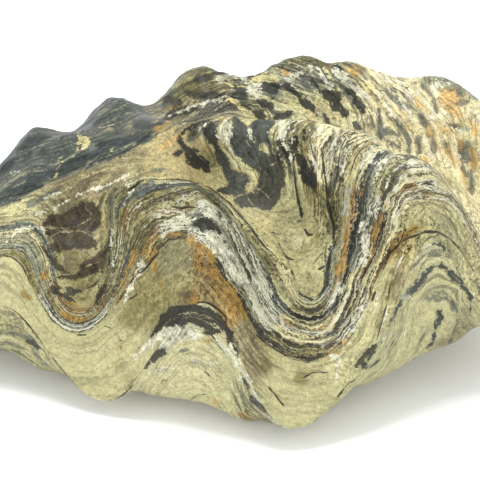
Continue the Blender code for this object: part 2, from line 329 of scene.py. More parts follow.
# Logs of the band at some stations: station, then for each layer its lower level and colour
LOGS = [
    (1.5, [(0, "charcoal"), (2, "olive"), (14, "pale olive"), (17, "charcoal"), (19, "grey"),
           (28, "pale olive"), (34, "grey"), (38, "tan"), (43, "cream"), (50, "grey"), (56, "blue grey")]),
    (7.0, [(0, "pale olive"), (3, "charcoal"), (5, "white"), (11, "slate"), (14, "grey"), (17, "white"),
           (20, "charcoal"), (23, "olive"), (27, "brown"), (31, "rust"), (36, "charcoal"), (38, "olive"),
           (44, "white"), (47, "brown"), (53, "rust"), (58, "tan")]),
    (12.0, [(0, "charcoal"), (3, "rust"), (6, "olive"), (9, "grey"), (12, "olive"), (17, "dark olive"),
            (20, "rust"), (24, "brown"), (26, "slate"), (31, "blue grey"), (34, "dark olive"),
            (39, "olive"), (44, "slate"), (46, "white"), (48, "dark olive"), (57, "olive"),
            (59, "charcoal")]),
    (14.2, [(0, "charcoal"), (2, "brown"), (6, "olive"), (9, "rust"), (13, "brown"), (17, "dark olive"),
            (22, "olive"), (24, "charcoal"), (26, "dark olive"), (30, "olive"), (34, "tan"),
            (36, "dark olive"), (42, "brown"), (46, "olive"), (50, "slate"), (53, "dark olive"),
            (57, "olive"), (59.5, "charcoal")]),
    (16.6, [(0, "charcoal"), (2, "ochre"), (5, "charcoal"), (7, "grey"), (10, "white"), (18, "olive"),
            (22, "dark olive"), (25, "white"), (29, "brown"), (31, "olive"), (35, "charcoal"),
            (36.5, "dark olive"), (41, "olive"), (44, "slate"), (51, "white"), (52.5, "olive"),
            (56, "pale olive"), (59.5, "charcoal"), (61, "cream"), (64, "pale olive")]),
    (18.5, [(0, "rust"), (2, "white"), (5, "charcoal"), (7, "white"), (12, "grey"), (16, "charcoal"),
            (20, "grey"), (24, "white"), (28, "olive"), (32, "charcoal"), (34, "grey"), (36, "dark olive"),
            (41, "grey green"), (44, "slate"), (51, "white"), (53, "olive"), (57, "charcoal"),
            (58.5, "pale olive"), (60.5, "charcoal"), (62, "cream")]),
    (20.5, [(0, "charcoal"), (2, "tan"), (4, "grey"), (6, "white"), (18, "grey"), (21, "charcoal"),
            (24, "slate"), (26, "white"), (29, "charcoal"), (32, "slate"), (35, "white"), (40, "grey"),
            (43, "olive"), (46, "charcoal"), (47, "pale olive"), (52, "brown"), (53, "cream"),
            (59, "charcoal"), (60.5, "cream"), (66, "pale olive")]),
    (23.5, [(0, "charcoal"), (5, "tan"), (7, "grey"), (10, "slate"), (12, "white"), (18, "grey"),
            (20, "white"), (25, "slate"), (27, "white"), (31, "slate"), (34, "white"), (37, "slate"),
            (43, "pale olive"), (47, "grey"), (49, "tan"), (54, "pale olive"), (58, "brown"),
            (59, "pale")]),
    (27.0, [(0, "charcoal"), (1.5, "tan"), (3, "charcoal"), (4.5, "olive"), (8, "charcoal"), (10, "tan"),
            (11, "charcoal"), (14, "tan"), (17, "cream"), (22, "slate"), (24, "white"), (27, "tan"),
            (29, "ochre"), (31, "cream"), (34, "tan"), (36, "black"), (43, "olive"), (46, "charcoal"),
            (51, "dark olive"), (53, "pale olive"), (57, "grey"), (60, "charcoal"), (61.5, "pale olive")]),
    (30.0, [(0, "slate"), (2, "white"), (5, "charcoal"), (8, "cream"), (11, "brown"), (13, "charcoal"),
            (19, "tan"), (22, "white"), (26, "cream"), (30, "black"), (38, "grey"), (41, "white"),
            (45, "tan"), (52, "grey"), (58, "charcoal"), (61, "pale olive")]),
    (33.0, [(0, "brown"), (4, "cream"), (9, "tan"), (12, "black"), (15, "brown"), (18, "rust"),
            (21, "white"), (28, "grey"), (32, "slate"), (35, "black"), (43, "ochre"), (50, "grey"),
            (54, "olive"), (58, "charcoal"), (61, "olive"), (66, "dark olive"), (72, "olive"),
            (80, "dark olive"), (84, "olive")]),
    # Over the roll of the right crest the stripes of the brightest pale are partly pale stone and partly a
    # painted highlight
    (36.5, [(0, "cream"), (1.75, "brown"), (3, "cream"), (4.7, "tan"), (6.4, "charcoal"), (7.7, "white"),
            (10.3, "rust"), (12.3, "charcoal"), (14.3, "cream"), (16.6, "tan"), (19, "white"),
            (21.4, "slate"), (22.6, "olive"), (26, "pale olive"), (30.7, "white"), (32.9, "slate"),
            (36, "grey"), (38.5, "slate"), (41.5, "charcoal"), (43.6, "cream"), (50, "yellow"), (58, "tan"),
            (60, "cream"), (63.5, "slate"), (65, "pale and painted highlight"), (73, "slate"), (74.5, "pale and painted highlight"), (86, "grey"),
            (88, "pale and painted highlight")]),
    (40.0, [(0, "tan"), (1.2, "white"), (3.5, "cream"), (4.7, "brown"), (6.4, "tan"), (8.3, "charcoal"),
            (9.7, "white"), (12.3, "tan"), (13.7, "cream"), (17.4, "dark olive"), (19, "tan"),
            (21.4, "white"), (25.2, "cream"), (29.6, "tan"), (32.9, "cream"), (44, "slate"), (46, "pale and painted highlight"),
            (61, "grey"), (63, "pale and painted highlight"), (74, "slate"), (75.5, "pale and painted highlight"), (84, "white"), (88, "tan"),
            (91, "pale and painted highlight")]),
]
# Further places that lie at one station, over the right crest: station, pixels
STATION_MARKS = [
    (35.5, [(404, 214), (372, 165), (330, 150), (311, 170)]),
    (38.5, [(425, 199), (420, 177), (405, 160), (380, 145)]),
    (41.0, [(452, 206), (450, 187), (438, 171)]),
    (43.0, [(476, 247), (474, 226)]),
]

# Levels of the far side, whose layers run up the left flank, over the top and down the valley
# behind the right crest: level, pixels along the line
FAR_LINES = [
    (0, [(0, 205), (50, 182), (100, 160), (150, 135), (180, 120), (228, 98), (262, 102), (300, 119)]),
    (28, [(0, 185), (50, 165), (100, 140), (150, 118), (200, 95), (235, 86), (280, 97), (330, 123)]),
    (56, [(8, 160), (40, 148), (80, 134), (150, 106), (200, 82), (260, 78), (310, 92), (346, 131)]),
    (84, [(30, 135), (60, 132), (112, 104), (200, 70), (300, 72), (340, 100), (372, 138)]),
    (112, [(330, 65), (365, 90), (392, 125), (405, 152)]),
    (140, [(370, 71), (400, 95), (425, 125), (440, 168)]),
    (168, [(400, 78), (430, 100), (455, 130), (466, 190)]),
    (196, [(440, 79), (470, 105), (478, 150)]),
]

# Levels of the far side where the photograph does not show it, in plan: level, (x, y) of the line
FAR_RINGS = [
    (100, [(-0.045, 0.022), (-0.03, 0.029), (-0.01, 0.033), (0.008, 0.034)]),
    (125, [(-0.05, 0.024), (-0.035, 0.0305), (-0.012, 0.0355), (0.006, 0.0365)]),
    (112, [(0.02, 0.031), (0.021, 0.036)]),
    (140, [(0.03, 0.03), (0.031, 0.0345)]),
    (168, [(0.039, 0.027), (0.042, 0.0305)]),
    (196, [(0.047, 0.022), (0.052, 0.026)]),
    (225, [(0.058, 0.02), (0.055, 0.01), (0.053, -0.002)]),
    (250, [(0.066, 0.01), (0.064, 0.0), (0.06, -0.01)]),
    (-20, [(-0.06, -0.004), (-0.056, -0.006)]),
    (20, [(-0.063, 0.004), (-0.057, 0.002)]),
    (60, [(-0.061, 0.012), (-0.055, 0.01)]),
    (90, [(-0.056, 0.019), (-0.05, 0.015)]),
]

# Limit between the front and the far side, in plan: just behind the roll of the right crest
FAR_EDGE = [
    (-0.0720, 0.0080), (-0.0560, 0.0010), (-0.0472, -0.0024), (-0.0430, -0.0040), (-0.0375, -0.0025),
    (-0.0312, -0.0011), (-0.0237, -0.0010), (-0.0174, -0.0003), (-0.0149, 0.0013), (-0.0120, 0.0044),
    (-0.0090, 0.0076), (-0.0040, 0.0090), (0.0045, 0.0092), (0.0100, 0.0085), (0.0140, 0.0075),
    (0.0180, 0.0058), (0.0220, 0.0035), (0.0260, 0.0016), (0.0300, -0.0014), (0.0340, -0.0030),
    (0.0387, -0.0048), (0.0406, -0.0068), (0.0444, -0.0101), (0.0459, -0.0122), (0.0480, -0.0190),
    (0.0500, -0.0300),
]

# Ground colour of the upper valve's front: colour, then pixels and radius of its places
GROUND = [
    ("tan", [(90, 178, 26), (60, 192, 16), (120, 168, 16), (140, 160, 8), (245, 335, 12), (240, 350, 12),
             (250, 370, 10), (399, 280, 4), (395, 296, 4), (315, 148, 4), (342, 150, 4)]),
    ("pale", [(50, 196, 8), (20, 212, 10), (130, 172, 6), (80, 360, 45), (20, 300, 26), (120, 345, 22),
              (100, 385, 22), (10, 275, 12), (330, 400, 28), (290, 400, 24), (290, 370, 12), (350, 380, 20),
              (275, 385, 12), (365, 330, 12), (378, 300, 12), (360, 350, 10), (385, 275, 8), (345, 372, 8),
              (372, 300, 6), (368, 318, 8), (245, 163, 6), (235, 155, 4), (283, 150, 5), (275, 145, 5),
              (285, 180, 8), (298, 240, 12)]),
    ("grey green", [(168, 255, 12), (165, 268, 10), (185, 262, 8)]),
    ("olive", [(150, 300, 22), (165, 320, 14), (130, 320, 12), (185, 285, 10), (265, 367, 7),
               (300, 377, 10), (391, 272, 4), (389, 284, 4), (386, 298, 4), (383, 312, 4), (379, 326, 4),
               (75, 262, 12), (105, 215, 5), (104, 240, 5), (60, 250, 8), (80, 283, 8), (85, 300, 6),
               (320, 235, 7), (322, 200, 8), (212, 160, 6), (330, 220, 6)]),
    ("brown", [(210, 285, 14), (190, 295, 8)]),
    ("rust", [(200, 262, 8), (225, 265, 7), (215, 290, 8), (402, 234, 5), (393, 250, 4), (412, 229, 3),
              (387, 256, 3), (45, 275, 5), (70, 302, 5), (80, 312, 3)]),
    ("deep ochre", [(237, 305, 9), (232, 290, 8), (205, 248, 7), (195, 300, 6), (228, 318, 8),
                    (215, 275, 8)]),
    ("pale olive", [(60, 385, 16), (130, 380, 12), (120, 365, 8), (420, 215, 12), (440, 212, 12),
                    (400, 228, 6), (455, 225, 8), (290, 235, 26), (310, 260, 22), (300, 280, 10),
                    (310, 215, 18), (280, 210, 10)]),
    ("cream", [(310, 415, 12), (350, 160, 8)]),
    ("yellow", [(350, 345, 6), (388, 262, 5), (325, 358, 4), (210, 185, 5), (215, 198, 6), (245, 180, 5),
                (252, 200, 6), (225, 195, 7), (265, 225, 10), (270, 250, 8)]),
    ("honey", [(404, 247, 5), (398, 262, 5), (165, 160, 14), (185, 178, 6), (150, 165, 8), (195, 176, 6),
               (322, 132, 6), (334, 138, 6), (328, 150, 5)]),
    ("dark olive", [(103, 200, 6), (102, 260, 6)]),
    # Brightest pale on the top of the right crest's roll: partly pale stone, partly a painted highlight
    ("pale and painted highlight", [(365, 145, 10), (385, 155, 8)]),
]

# Ground colour of the far side
FAR_GROUND = [
    ("grey", [(255, 85, 7), (285, 80, 9), (318, 78, 9), (345, 80, 7), (362, 90, 5), (20, 181, 3),
              (32, 178, 3), (44, 175, 3), (124, 147, 3), (134, 143, 3), (76, 163, 2), (88, 159, 2),
              (440, 80, 5), (452, 82, 5), (463, 87, 5), (474, 95, 4)]),
    ("slate", [(262, 72, 8), (300, 67, 8), (240, 90, 6), (335, 68, 6), (275, 90, 5), (60, 150, 26),
               (20, 175, 24), (100, 140, 16), (30, 190, 12), (120, 145, 10), (110, 115, 14), (135, 114, 12),
               (120, 104, 8)]),
    ("blue grey", [(70, 148, 8), (95, 148, 8), (15, 172, 8), (40, 160, 8)]),
    ("blue black", [(26, 161, 9), (44, 151, 8), (14, 168, 6), (60, 145, 6)]),
    ("warm grey", [(160, 108, 8), (55, 135, 6), (215, 110, 10), (150, 105, 6), (402, 79, 4), (414, 83, 4),
                   (426, 80, 4)]),
    ("dark olive", [(200, 73, 10), (190, 85, 8), (165, 98, 8), (300, 64, 10), (330, 62, 8)]),
    ("tan", [(110, 128, 3), (130, 126, 3), (225, 85, 6), (190, 100, 4), (345, 66, 6), (130, 138, 3),
             (165, 128, 6), (360, 100, 5), (372, 125, 6), (430, 135, 5), (465, 150, 6), (445, 145, 5)]),
    ("orange", [(175, 107, 3), (285, 73, 3), (450, 100, 8), (445, 128, 6), (355, 72, 4), (473, 160, 3),
                (446, 152, 3), (428, 128, 2)]),
    ("cream", [(300, 107, 10), (325, 117, 10), (350, 125, 10), (265, 105, 5), (255, 113, 5), (274, 76, 4)]),
    # Brightest pale over the far right end: partly pale stone, partly a painted highlight
    ("pale and painted highlight", [(370, 115, 12), (385, 100, 8), (430, 150, 16), (445, 170, 12), (460, 190, 10),
                (400, 110, 12), (375, 78, 8), (390, 85, 8), (410, 85, 10), (420, 110, 12), (470, 110, 10),
                (440, 125, 10)]),
    ("yellow", [(405, 128, 4), (424, 150, 4), (450, 180, 5), (470, 182, 5), (438, 165, 4), (462, 122, 4)]),
]

# Marks along the crack that lie on both valves: dark stone over the lower arch, and the open
# crack over the right one
SHARED_MARKS = {
    "dark": [
        [(151, 336, 1), (157, 328, 3), (164, 320, 5), (173, 314, 6), (184, 311, 6), (195, 311, 6),
         (206, 314, 6), (215, 319, 5.5), (222, 325, 4.5), (227, 331, 4), (230, 338, 3), (232, 345, 1.5)],
        [(170, 325, 2), (178, 321, 4), (188, 320, 4.5), (198, 321, 4.5), (207, 326, 4.5), (215, 331, 3)],
    ],
    "vein": [
        [(163, 326, 0.1), (172, 318, 0.3), (180, 314, 0.4), (191, 312, 0.4), (204, 315, 0.3),
         (215, 320, 0.1)],
        [(180, 319, 0.1), (190, 317, 0.4), (200, 319, 0.5), (208, 323, 0.4), (216, 330, 0.1)],
    ],
    "pale": [
        [(136, 357, 1.5), (144, 349, 2.5), (152, 342, 3.5), (160, 336, 4), (168, 331, 3.5),
         (176, 329, 2.5)],
        [(160, 345, 3), (172, 338, 4), (184, 334, 4), (196, 335, 3)],
        [(236, 362, 1.5), (242, 371, 2), (250, 382, 2)],
    ],
    "line": [
        [(386, 262, 0.3), (392, 251, 0.6), (400, 242, 0.9), (412, 236, 1.1), (425, 232, 1.2),
         (438, 232, 1.1), (450, 238, 0.9), (460, 248, 0.8), (468, 260, 0.6), (474, 270, 0.4)],
    ],
}

# Marks of the upper valve's front: strokes in pixels, each point with its half width
MARKS = {
    # dark patches and streaks
    "dark": [
        [(46, 224, 3), (52, 219, 5), (62, 222, 5), (74, 215, 7), (85, 208, 7), (93, 207, 5)],
        [(50, 224, 3), (65, 226, 5), (80, 222, 7), (92, 217, 8), (96, 210, 5)],
        [(90, 225, 8), (95, 224, 5)], [(84, 206, 6), (88, 213, 7)],
        [(49, 233, 3), (56, 234, 4), (62, 232, 3)],
        [(60, 243, 6), (66, 241, 9), (78, 240, 9.5), (87, 241, 8), (91, 244, 5)],
        [(52, 246, 2), (60, 246, 4)], [(61, 277, 2.5), (70, 276, 2)],
        [(43, 248, 0.8), (50, 258, 1), (58, 267, 2), (68, 273, 2)],
        [(83, 270, 4), (90, 265, 5), (98, 260, 6), (106, 250, 3), (109, 240, 1)],
        [(75, 277, 3), (84, 273, 5), (94, 270, 4), (102, 266, 2.5)],
        [(54, 281, 0.8), (58, 287, 1.3), (66, 290, 1), (74, 291, 1), (82, 289, 1.2), (92, 286, 1.8),
         (98, 281, 2), (103, 273, 1.3)],
        [(52, 288, 1), (58, 293, 3), (66, 297, 3), (71, 300, 1.5)], [(73, 293, 1), (80, 291, 1.5)],
        [(97, 302, 2), (100, 295, 3), (104, 286, 2), (107, 278, 1)],
        [(192, 160, 5), (198, 161, 7), (204, 164, 5), (208, 170, 2)], [(188, 156, 2), (194, 152, 3)],
        [(180, 142, 2), (185, 149, 3.5), (190, 156, 3)], [(176, 153, 2), (183, 150, 2)],
        [(205, 128, 2), (209, 134, 3), (212, 141, 3)], [(210, 121, 1.5), (214, 130, 2.5), (216, 140, 2.5)],
        [(180, 136, 1), (185, 130, 2), (192, 125, 3), (200, 121, 3), (208, 119, 2)],
        [(206, 130, 1.5), (212, 124, 2), (217, 120, 1)],
        [(213, 136, 3), (217, 147, 3), (222, 158, 4), (227, 168, 4.5), (231, 177, 5), (238, 182, 8),
         (243, 181, 5)],
        [(222, 190, 2), (230, 190, 4), (240, 186, 5)],
        [(236, 120, 4), (240, 130, 8), (240, 142, 10), (248, 152, 10), (257, 160, 9), (266, 167, 9),
         (270, 182, 11), (266, 198, 10)],
        [(252, 128, 4), (258, 124, 6), (266, 122, 5), (270, 120, 2)],
        [(262, 131, 5), (260, 139, 5), (267, 141, 2)], [(243, 201, 6), (253, 200, 7), (262, 203, 6)],
        [(275, 162, 7), (279, 175, 5), (280, 183, 3)],
        [(278, 138, 2), (281, 147, 2.5), (287, 155, 2), (291, 162, 1)],
        [(290, 140, 1), (294, 148, 1.5), (299, 157, 3), (305, 167, 6), (310, 179, 5.5), (314, 189, 3),
         (316, 196, 1)],
        [(293, 128, 1), (294, 136, 1.5), (297, 145, 1.5)], [(304, 132, 1.5), (305, 140, 2)],
        [(299, 205, 0.6), (301, 214, 1)], [(341, 178, 1.5), (344, 186, 2)],
        [(300, 220, 0.8), (304, 222, 0.6)],
        [(356, 365, 1.5), (362, 359, 3.5), (370, 350, 3.5), (376, 346, 2)],
        [(363, 365, 2.5), (372, 355, 2), (378, 349, 1)],
        [(198, 222, 2), (206, 224, 3.5), (213, 228, 3), (217, 231, 1.5)], [(194, 222, 1.5), (203, 229, 1)],
    ],
    # blue-grey streaks
    "grey": [
        [(190, 118, 2), (200, 122, 5), (196, 130, 6), (190, 138, 4)], [(205, 128, 4), (212, 122, 3)],
        [(110, 195, 2), (112, 205, 1.5), (110, 230, 1), (110, 250, 1)],
        [(122, 205, 3), (132, 198, 3), (140, 190, 5), (150, 184, 4)],
        [(30, 205, 3), (45, 197, 3), (55, 192, 2)],
        [(138, 178, 0.6), (148, 172, 1), (160, 169, 0.8), (168, 168, 0.5)],
        [(96, 192, 0.5), (110, 187, 0.8), (122, 182, 0.6)],
        [(178, 130, 2), (184, 126, 2.5), (192, 121, 3), (203, 118, 2)],
        [(334, 128, 0.6), (330, 144, 1), (330, 164, 1), (331, 184, 0.8), (330, 198, 0.5)],
        [(342, 131, 0.6), (336, 146, 1.4), (335, 164, 1.4), (336, 184, 1)],
        [(350, 139, 0.4), (343, 152, 0.7), (341, 168, 0.5)],
        [(378, 144, 0.2), (368, 150, 0.5), (362, 158, 0.6), (358, 172, 0.7), (356, 188, 0.6),
         (355, 198, 0.4)],
        [(390, 151, 0.3), (379, 157, 0.9), (373, 165, 1.4), (369, 177, 1.8), (366, 190, 1.2)],
        [(412, 158, 0.2), (400, 162, 0.4), (390, 169, 0.5), (384, 180, 0.5)],
        [(300, 123, 0.8), (296, 132, 1), (298, 142, 0.6)],
        [(314, 124, 0.6), (308, 133, 1), (307, 142, 0.8)], [(312, 128, 2), (309, 138, 2)],
    ],
    # white and cream veins
    "pale": [
        [(50, 212, 0.4), (57, 207, 0.5), (65, 202, 1.2), (73, 198, 1.0), (82, 193, 0.6), (92, 189, 0.3),
         (100, 187, 0.4)],
        [(100, 188, 0.1), (110, 184, 0.2), (120, 179, 0.2), (128, 176, 0.1)],
        [(126, 184, 0.1), (136, 178, 0.2), (145, 173, 0.1)], [(45, 198, 1.3), (53, 195, 1), (60, 193, 1.3)],
        [(33, 213, 1), (40, 212, 2), (47, 211, 1)],
        [(6, 240, 1), (15, 233, 1), (24, 228, 1.3), (33, 226, 1.5), (44, 229, 1.5), (44, 233, 1)],
        [(122, 207, 1), (126, 200, 1.3), (130, 194, 1), (132, 190, 0.6)],
        [(396, 262, 0.5), (392, 274, 0.8), (391, 284, 0.5)],
        [(402, 258, 0.3), (397, 270, 0.7), (395, 279, 0.4)],
        [(388, 306, 0.5), (384, 318, 0.8), (381, 330, 0.6)],
        [(378, 292, 0.4), (375, 304, 0.7), (371, 316, 0.5)],
        [(300, 124, 0.2), (293, 131, 0.5), (292, 140, 0.5)],
        [(319, 127, 0.1), (313, 135, 0.4), (314, 146, 0.4)],
        [(350, 138, 0.2), (344, 149, 0.5), (342, 162, 0.6)],
        [(110, 248, 0.8), (111, 232, 0.8), (110, 225, 0.6)], [(113, 265, 0.8), (116, 256, 1)],
        [(128, 220, 0.8), (132, 212, 0.8), (137, 208, 1), (141, 203, 0.6)],
        [(184, 128, 0.3), (192, 120, 0.5), (204, 117, 0.4)],
        [(196, 134, 0.3), (203, 125, 0.5), (211, 119, 0.3)],
        [(223, 135, 3), (222, 127, 2), (228, 122, 3), (230, 134, 2), (228, 143, 1)],
        [(217, 134, 1), (222, 141, 1)], [(225, 140, 1), (228, 147, 1.2), (232, 152, 0.8)],
        [(250, 128, 1), (250, 136, 1), (254, 142, 0.8)], [(268, 128, 1), (268, 136, 1.2), (274, 139, 0.8)],
        [(279, 122, 3), (283, 127, 4), (282, 136, 3), (285, 145, 2), (288, 150, 1)],
        [(290, 157, 0.8), (291, 162, 0.8)], [(286, 121, 1.5), (294, 119, 1.5), (299, 119, 1)],
        [(310, 130, 0.6), (310, 142, 0.8), (313, 155, 0.5), (316, 165, 0.4), (318, 175, 0.3)],
        [(326, 150, 0.4), (327, 165, 0.5), (328, 178, 0.4)], [(341, 146, 1.5), (341, 152, 1)],
        [(338, 131, 0.2), (333, 146, 0.4), (332, 164, 0.3)],
        [(346, 136, 0.3), (340, 150, 0.5), (339, 166, 0.3)],
        [(354, 140, 0.3), (347, 150, 0.6), (344, 166, 0.5), (341, 180, 0.4)],
        [(372, 147, 0.6), (364, 155, 1), (360, 168, 0.8)],
        [(416, 161, 0.6), (400, 165, 1), (391, 173, 1), (386, 186, 0.6)],
        [(384, 150, 0.8), (374, 154, 1), (367, 163, 0.8)],
        [(400, 156, 0.8), (388, 160, 1), (380, 167, 0.8), (376, 178, 0.6)],
        [(320, 127, 0.3), (314, 134, 0.5), (313, 146, 0.3)],
        [(376, 166, 2.5), (383, 160, 2), (392, 157, 1.5), (402, 155, 1.2)],
        [(362, 230, 2), (365, 222, 2), (370, 213, 2.5), (375, 210, 2)],
        [(364, 262, 2.5), (365, 250, 2.5), (365, 238, 3), (364, 228, 2)],
        [(394, 218, 1.5), (397, 208, 1.2)],
        [(210, 237, 4), (216, 243, 5), (222, 252, 6), (230, 262, 7), (240, 272, 6), (247, 280, 3)],
        [(200, 205, 2), (206, 213, 3), (214, 216, 3), (224, 224, 3), (232, 231, 2.5), (240, 238, 2),
         (248, 246, 1.5)],
        [(158, 226, 1.5), (166, 221, 2), (175, 219, 3), (185, 220, 4), (192, 219, 2)],
        [(330, 355, 0.6), (340, 358, 0.8), (346, 348, 0.8), (352, 338, 0.6)],
        [(336, 380, 0.6), (338, 368, 0.8), (341, 358, 0.6)],
        [(125, 300, 1), (128, 292, 1.5), (132, 284, 3), (137, 273, 3), (141, 264, 2.5)],
        [(353, 320, 2), (357, 314, 2.5), (360, 308, 1)], [(340, 292, 2), (343, 285, 1.5)],
    ],
    # thin veins through the dark patches
    "vein": [
        [(52, 236, 0.4), (60, 232, 0.5), (80, 231, 0.5), (96, 238, 0.3)],
        [(44, 226, 0.4), (72, 229, 0.4), (90, 219, 0.3)], [(72, 274, 0.3), (90, 265, 0.5), (98, 262, 0.3)],
        [(257, 165, 0.3), (262, 170, 0.4), (268, 177, 0.3)],
        [(262, 170, 0.3), (275, 163, 0.4), (283, 160, 0.3)],
        [(247, 196, 0.3), (252, 204, 0.4), (256, 209, 0.3)],
        [(235, 197, 0.4), (246, 193, 0.5), (255, 187, 0.4), (263, 192, 0.3), (268, 197, 0.3)],
        [(84, 206, 0.2), (90, 213, 0.3)], [(300, 150, 0.3), (306, 158, 0.4), (310, 168, 0.3)],
        [(246, 140, 0.3), (252, 150, 0.4), (262, 155, 0.3)], [(204, 161, 0.3), (198, 156, 0.4)],
    ],
    # rust and ochre
    "ochre": [
        [(322, 358, 0.5), (332, 352, 0.7), (342, 344, 0.7), (350, 335, 0.5)],
        [(160, 148, 2), (172, 140, 2.5), (184, 134, 2)],
        [(342, 246, 0.8), (341, 262, 1.2), (339, 272, 1.2)],
    ],
    "rust": [
        [(123, 282, 1), (128, 272, 1.5), (132, 260, 1.8), (134, 252, 1)], [(45, 276, 4), (47, 270, 2.5)],
        [(189, 240, 1), (198, 245, 2), (207, 251, 2.5), (214, 257, 2.5), (218, 262, 1)],
        [(170, 235, 1.5), (180, 234, 2), (190, 236, 1)],
        [(228, 285, 2), (236, 296, 3), (242, 308, 3.5), (247, 318, 2)],
        [(62, 302, 2), (70, 304, 3), (78, 308, 2)], [(62, 314, 1), (70, 317, 1.5), (82, 318, 1.2)],
        [(341, 280, 2), (339, 270, 4), (343, 258, 3.5), (345, 245, 2), (345, 230, 2), (344, 218, 2)],
        [(371, 245, 1), (374, 232, 1.5), (378, 222, 1)], [(361, 195, 1), (363, 185, 1.5), (366, 175, 1)],
        [(24, 295, 3), (28, 297, 2)], [(120, 342, 1), (121, 347, 1)],
        [(160, 285, 0.8), (150, 258, 1.5), (156, 252, 1.5)],
        [(110, 308, 1.5), (115, 301, 2), (119, 296, 1)], [(262, 150, 1.5), (263, 147, 1)],
        [(235, 170, 1.5), (243, 174, 1.2)], [(206, 148, 2), (212, 154, 1.5)],
        [(394, 242, 1.2), (404, 233, 1.8), (414, 228, 1.5), (424, 226, 0.6)],
        [(338, 352, 1.5), (345, 345, 1.5), (352, 337, 1)],
        [(388, 262, 1), (393, 253, 1.3), (399, 246, 1), (405, 241, 0.5)],
    ],
    # cracks and thin dark lines
    "line": [
        [(324, 143, 0.3), (322, 154, 0.8), (324, 170, 1), (326, 188, 1.2), (328, 205, 2), (332, 222, 1.5),
         (333, 240, 1)],
        [(335, 150, 0.6), (333, 165, 0.6), (330, 180, 0.6), (331, 195, 0.8), (334, 210, 1)],
        [(292, 163, 0.6), (294, 175, 0.9), (296, 190, 1.2), (299, 205, 1.6), (301, 216, 1.8)],
        [(279, 243, 0.3), (282, 249, 0.6), (286, 255, 0.7), (292, 258, 0.5)],
        [(314, 262, 0.4), (318, 256, 0.4), (324, 252, 0.3)],
        [(288, 262, 0.3), (293, 272, 0.5), (296, 284, 0.4)], [(272, 232, 0.5), (280, 235, 0.4)],
        [(303, 240, 0.3), (300, 250, 0.3)], [(397, 238, 0.8), (399, 241, 0.9)],
        [(401, 246, 0.6), (402, 244, 0.7)], [(404, 235, 0.6), (406, 234, 0.7)],
        [(394, 248, 0.7), (395, 246, 0.6)], [(409, 231, 0.6), (411, 230, 0.5)],
        [(398, 233, 0.5), (400, 231, 0.5)], [(413, 228, 0.4), (415, 227, 0.5)],
        [(392, 253, 0.5), (393, 251, 0.6)], [(405, 241, 0.5), (407, 239, 0.6)],
        [(168, 178, 0.6), (178, 178, 0.8), (190, 180, 0.8), (200, 183, 0.6), (210, 187, 0.6),
         (220, 194, 0.8), (230, 203, 0.8), (240, 215, 0.8), (250, 227, 0.6), (260, 239, 0.5),
         (270, 250, 0.5)],
        [(172, 206, 0.6), (178, 207, 1.3), (186, 206, 1.2), (195, 206, 0.5)],
        [(105, 326, 0.3), (112, 329, 0.1), (117, 336, 0.2), (119, 341, 0.2), (128, 342, 0.1),
         (134, 344, 0.2), (138, 348, 0.2)],
        [(79, 335, 0.7), (85, 335, 0.6)],
        [(258, 335, 0.8), (268, 344, 0.7), (280, 352, 0.8), (292, 359, 0.7), (306, 362, 0.7),
         (318, 361, 0.6)],
        [(282, 248, 0.6), (284, 254, 0.8), (289, 258, 0.7), (293, 258, 0.5)],
        [(291, 270, 0.5), (295, 285, 0.4), (300, 294, 0.6), (306, 297, 0.8), (312, 299, 0.6)],
        [(325, 285, 1), (326, 272, 1), (328, 262, 1.4), (330, 254, 0.8), (334, 244, 0.8)],
        [(320, 268, 0.8), (325, 266, 0.6)], [(320, 295, 0.6), (324, 288, 0.8)],
        [(273, 232, 0.8), (279, 234, 0.8)], [(304, 229, 1), (307, 234, 1.3), (311, 234, 0.8)],
        [(305, 377, 0.6), (312, 373, 0.7), (320, 372, 0.6), (327, 373, 0.4)],
        [(340, 394, 0.6), (348, 384, 0.5), (358, 378, 0.4)], [(338, 397, 0.8), (342, 392, 0.7)],
        [(371, 300, 1), (374, 292, 0.8)], [(383, 268, 0.8), (387, 258, 1), (389, 250, 0.6)],
        [(197, 303, 0.8), (205, 303, 1.8), (212, 305, 1.5), (219, 310, 1.2), (225, 316, 1),
         (227, 320, 0.5)],
        [(139, 273, 1), (146, 265, 1), (152, 258, 1.2), (157, 253, 0.6)],
        [(130, 299, 0.8), (136, 294, 0.6)], [(128, 190, 0.6), (134, 186, 1), (140, 181, 0.6)],
        [(390, 252, 1), (396, 247, 1.2), (400, 240, 1), (402, 233, 0.8)],
        [(393, 268, 0.3), (390, 280, 0.5), (388, 292, 0.6), (386, 304, 0.5), (383, 316, 0.6),
         (380, 328, 0.6), (377, 340, 0.3)],
        [(388, 272, 0.3), (384, 286, 0.4), (381, 300, 0.3)],
        [(397, 268, 0.2), (393, 284, 0.4), (391, 298, 0.2)],
        [(401, 262, 0.3), (405, 254, 0.4), (411, 247, 0.2)],
        [(394, 258, 0.4), (400, 250, 0.5), (406, 244, 0.3)],
        [(303, 125, 0.1), (297, 131, 0.4), (296, 140, 0.5), (300, 150, 0.3)],
        [(316, 128, 0.1), (310, 136, 0.5), (311, 148, 0.5), (315, 160, 0.3)],
        [(332, 133, 0.1), (326, 143, 0.3), (329, 158, 0.2)],
        [(346, 138, 0.1), (340, 150, 0.5), (338, 166, 0.5), (336, 182, 0.4)],
        [(364, 145, 0.1), (355, 156, 0.6), (350, 172, 0.6), (347, 190, 0.3)],
        [(378, 155, 0.8), (382, 153, 0.6)], [(355, 385, 0.4), (362, 378, 0.4)],
        [(258, 244, 0.4), (268, 253, 0.6), (276, 261, 0.4)],
        [(270, 388, 0.6), (276, 395, 0.6), (283, 405, 0.5)],
    ],
}

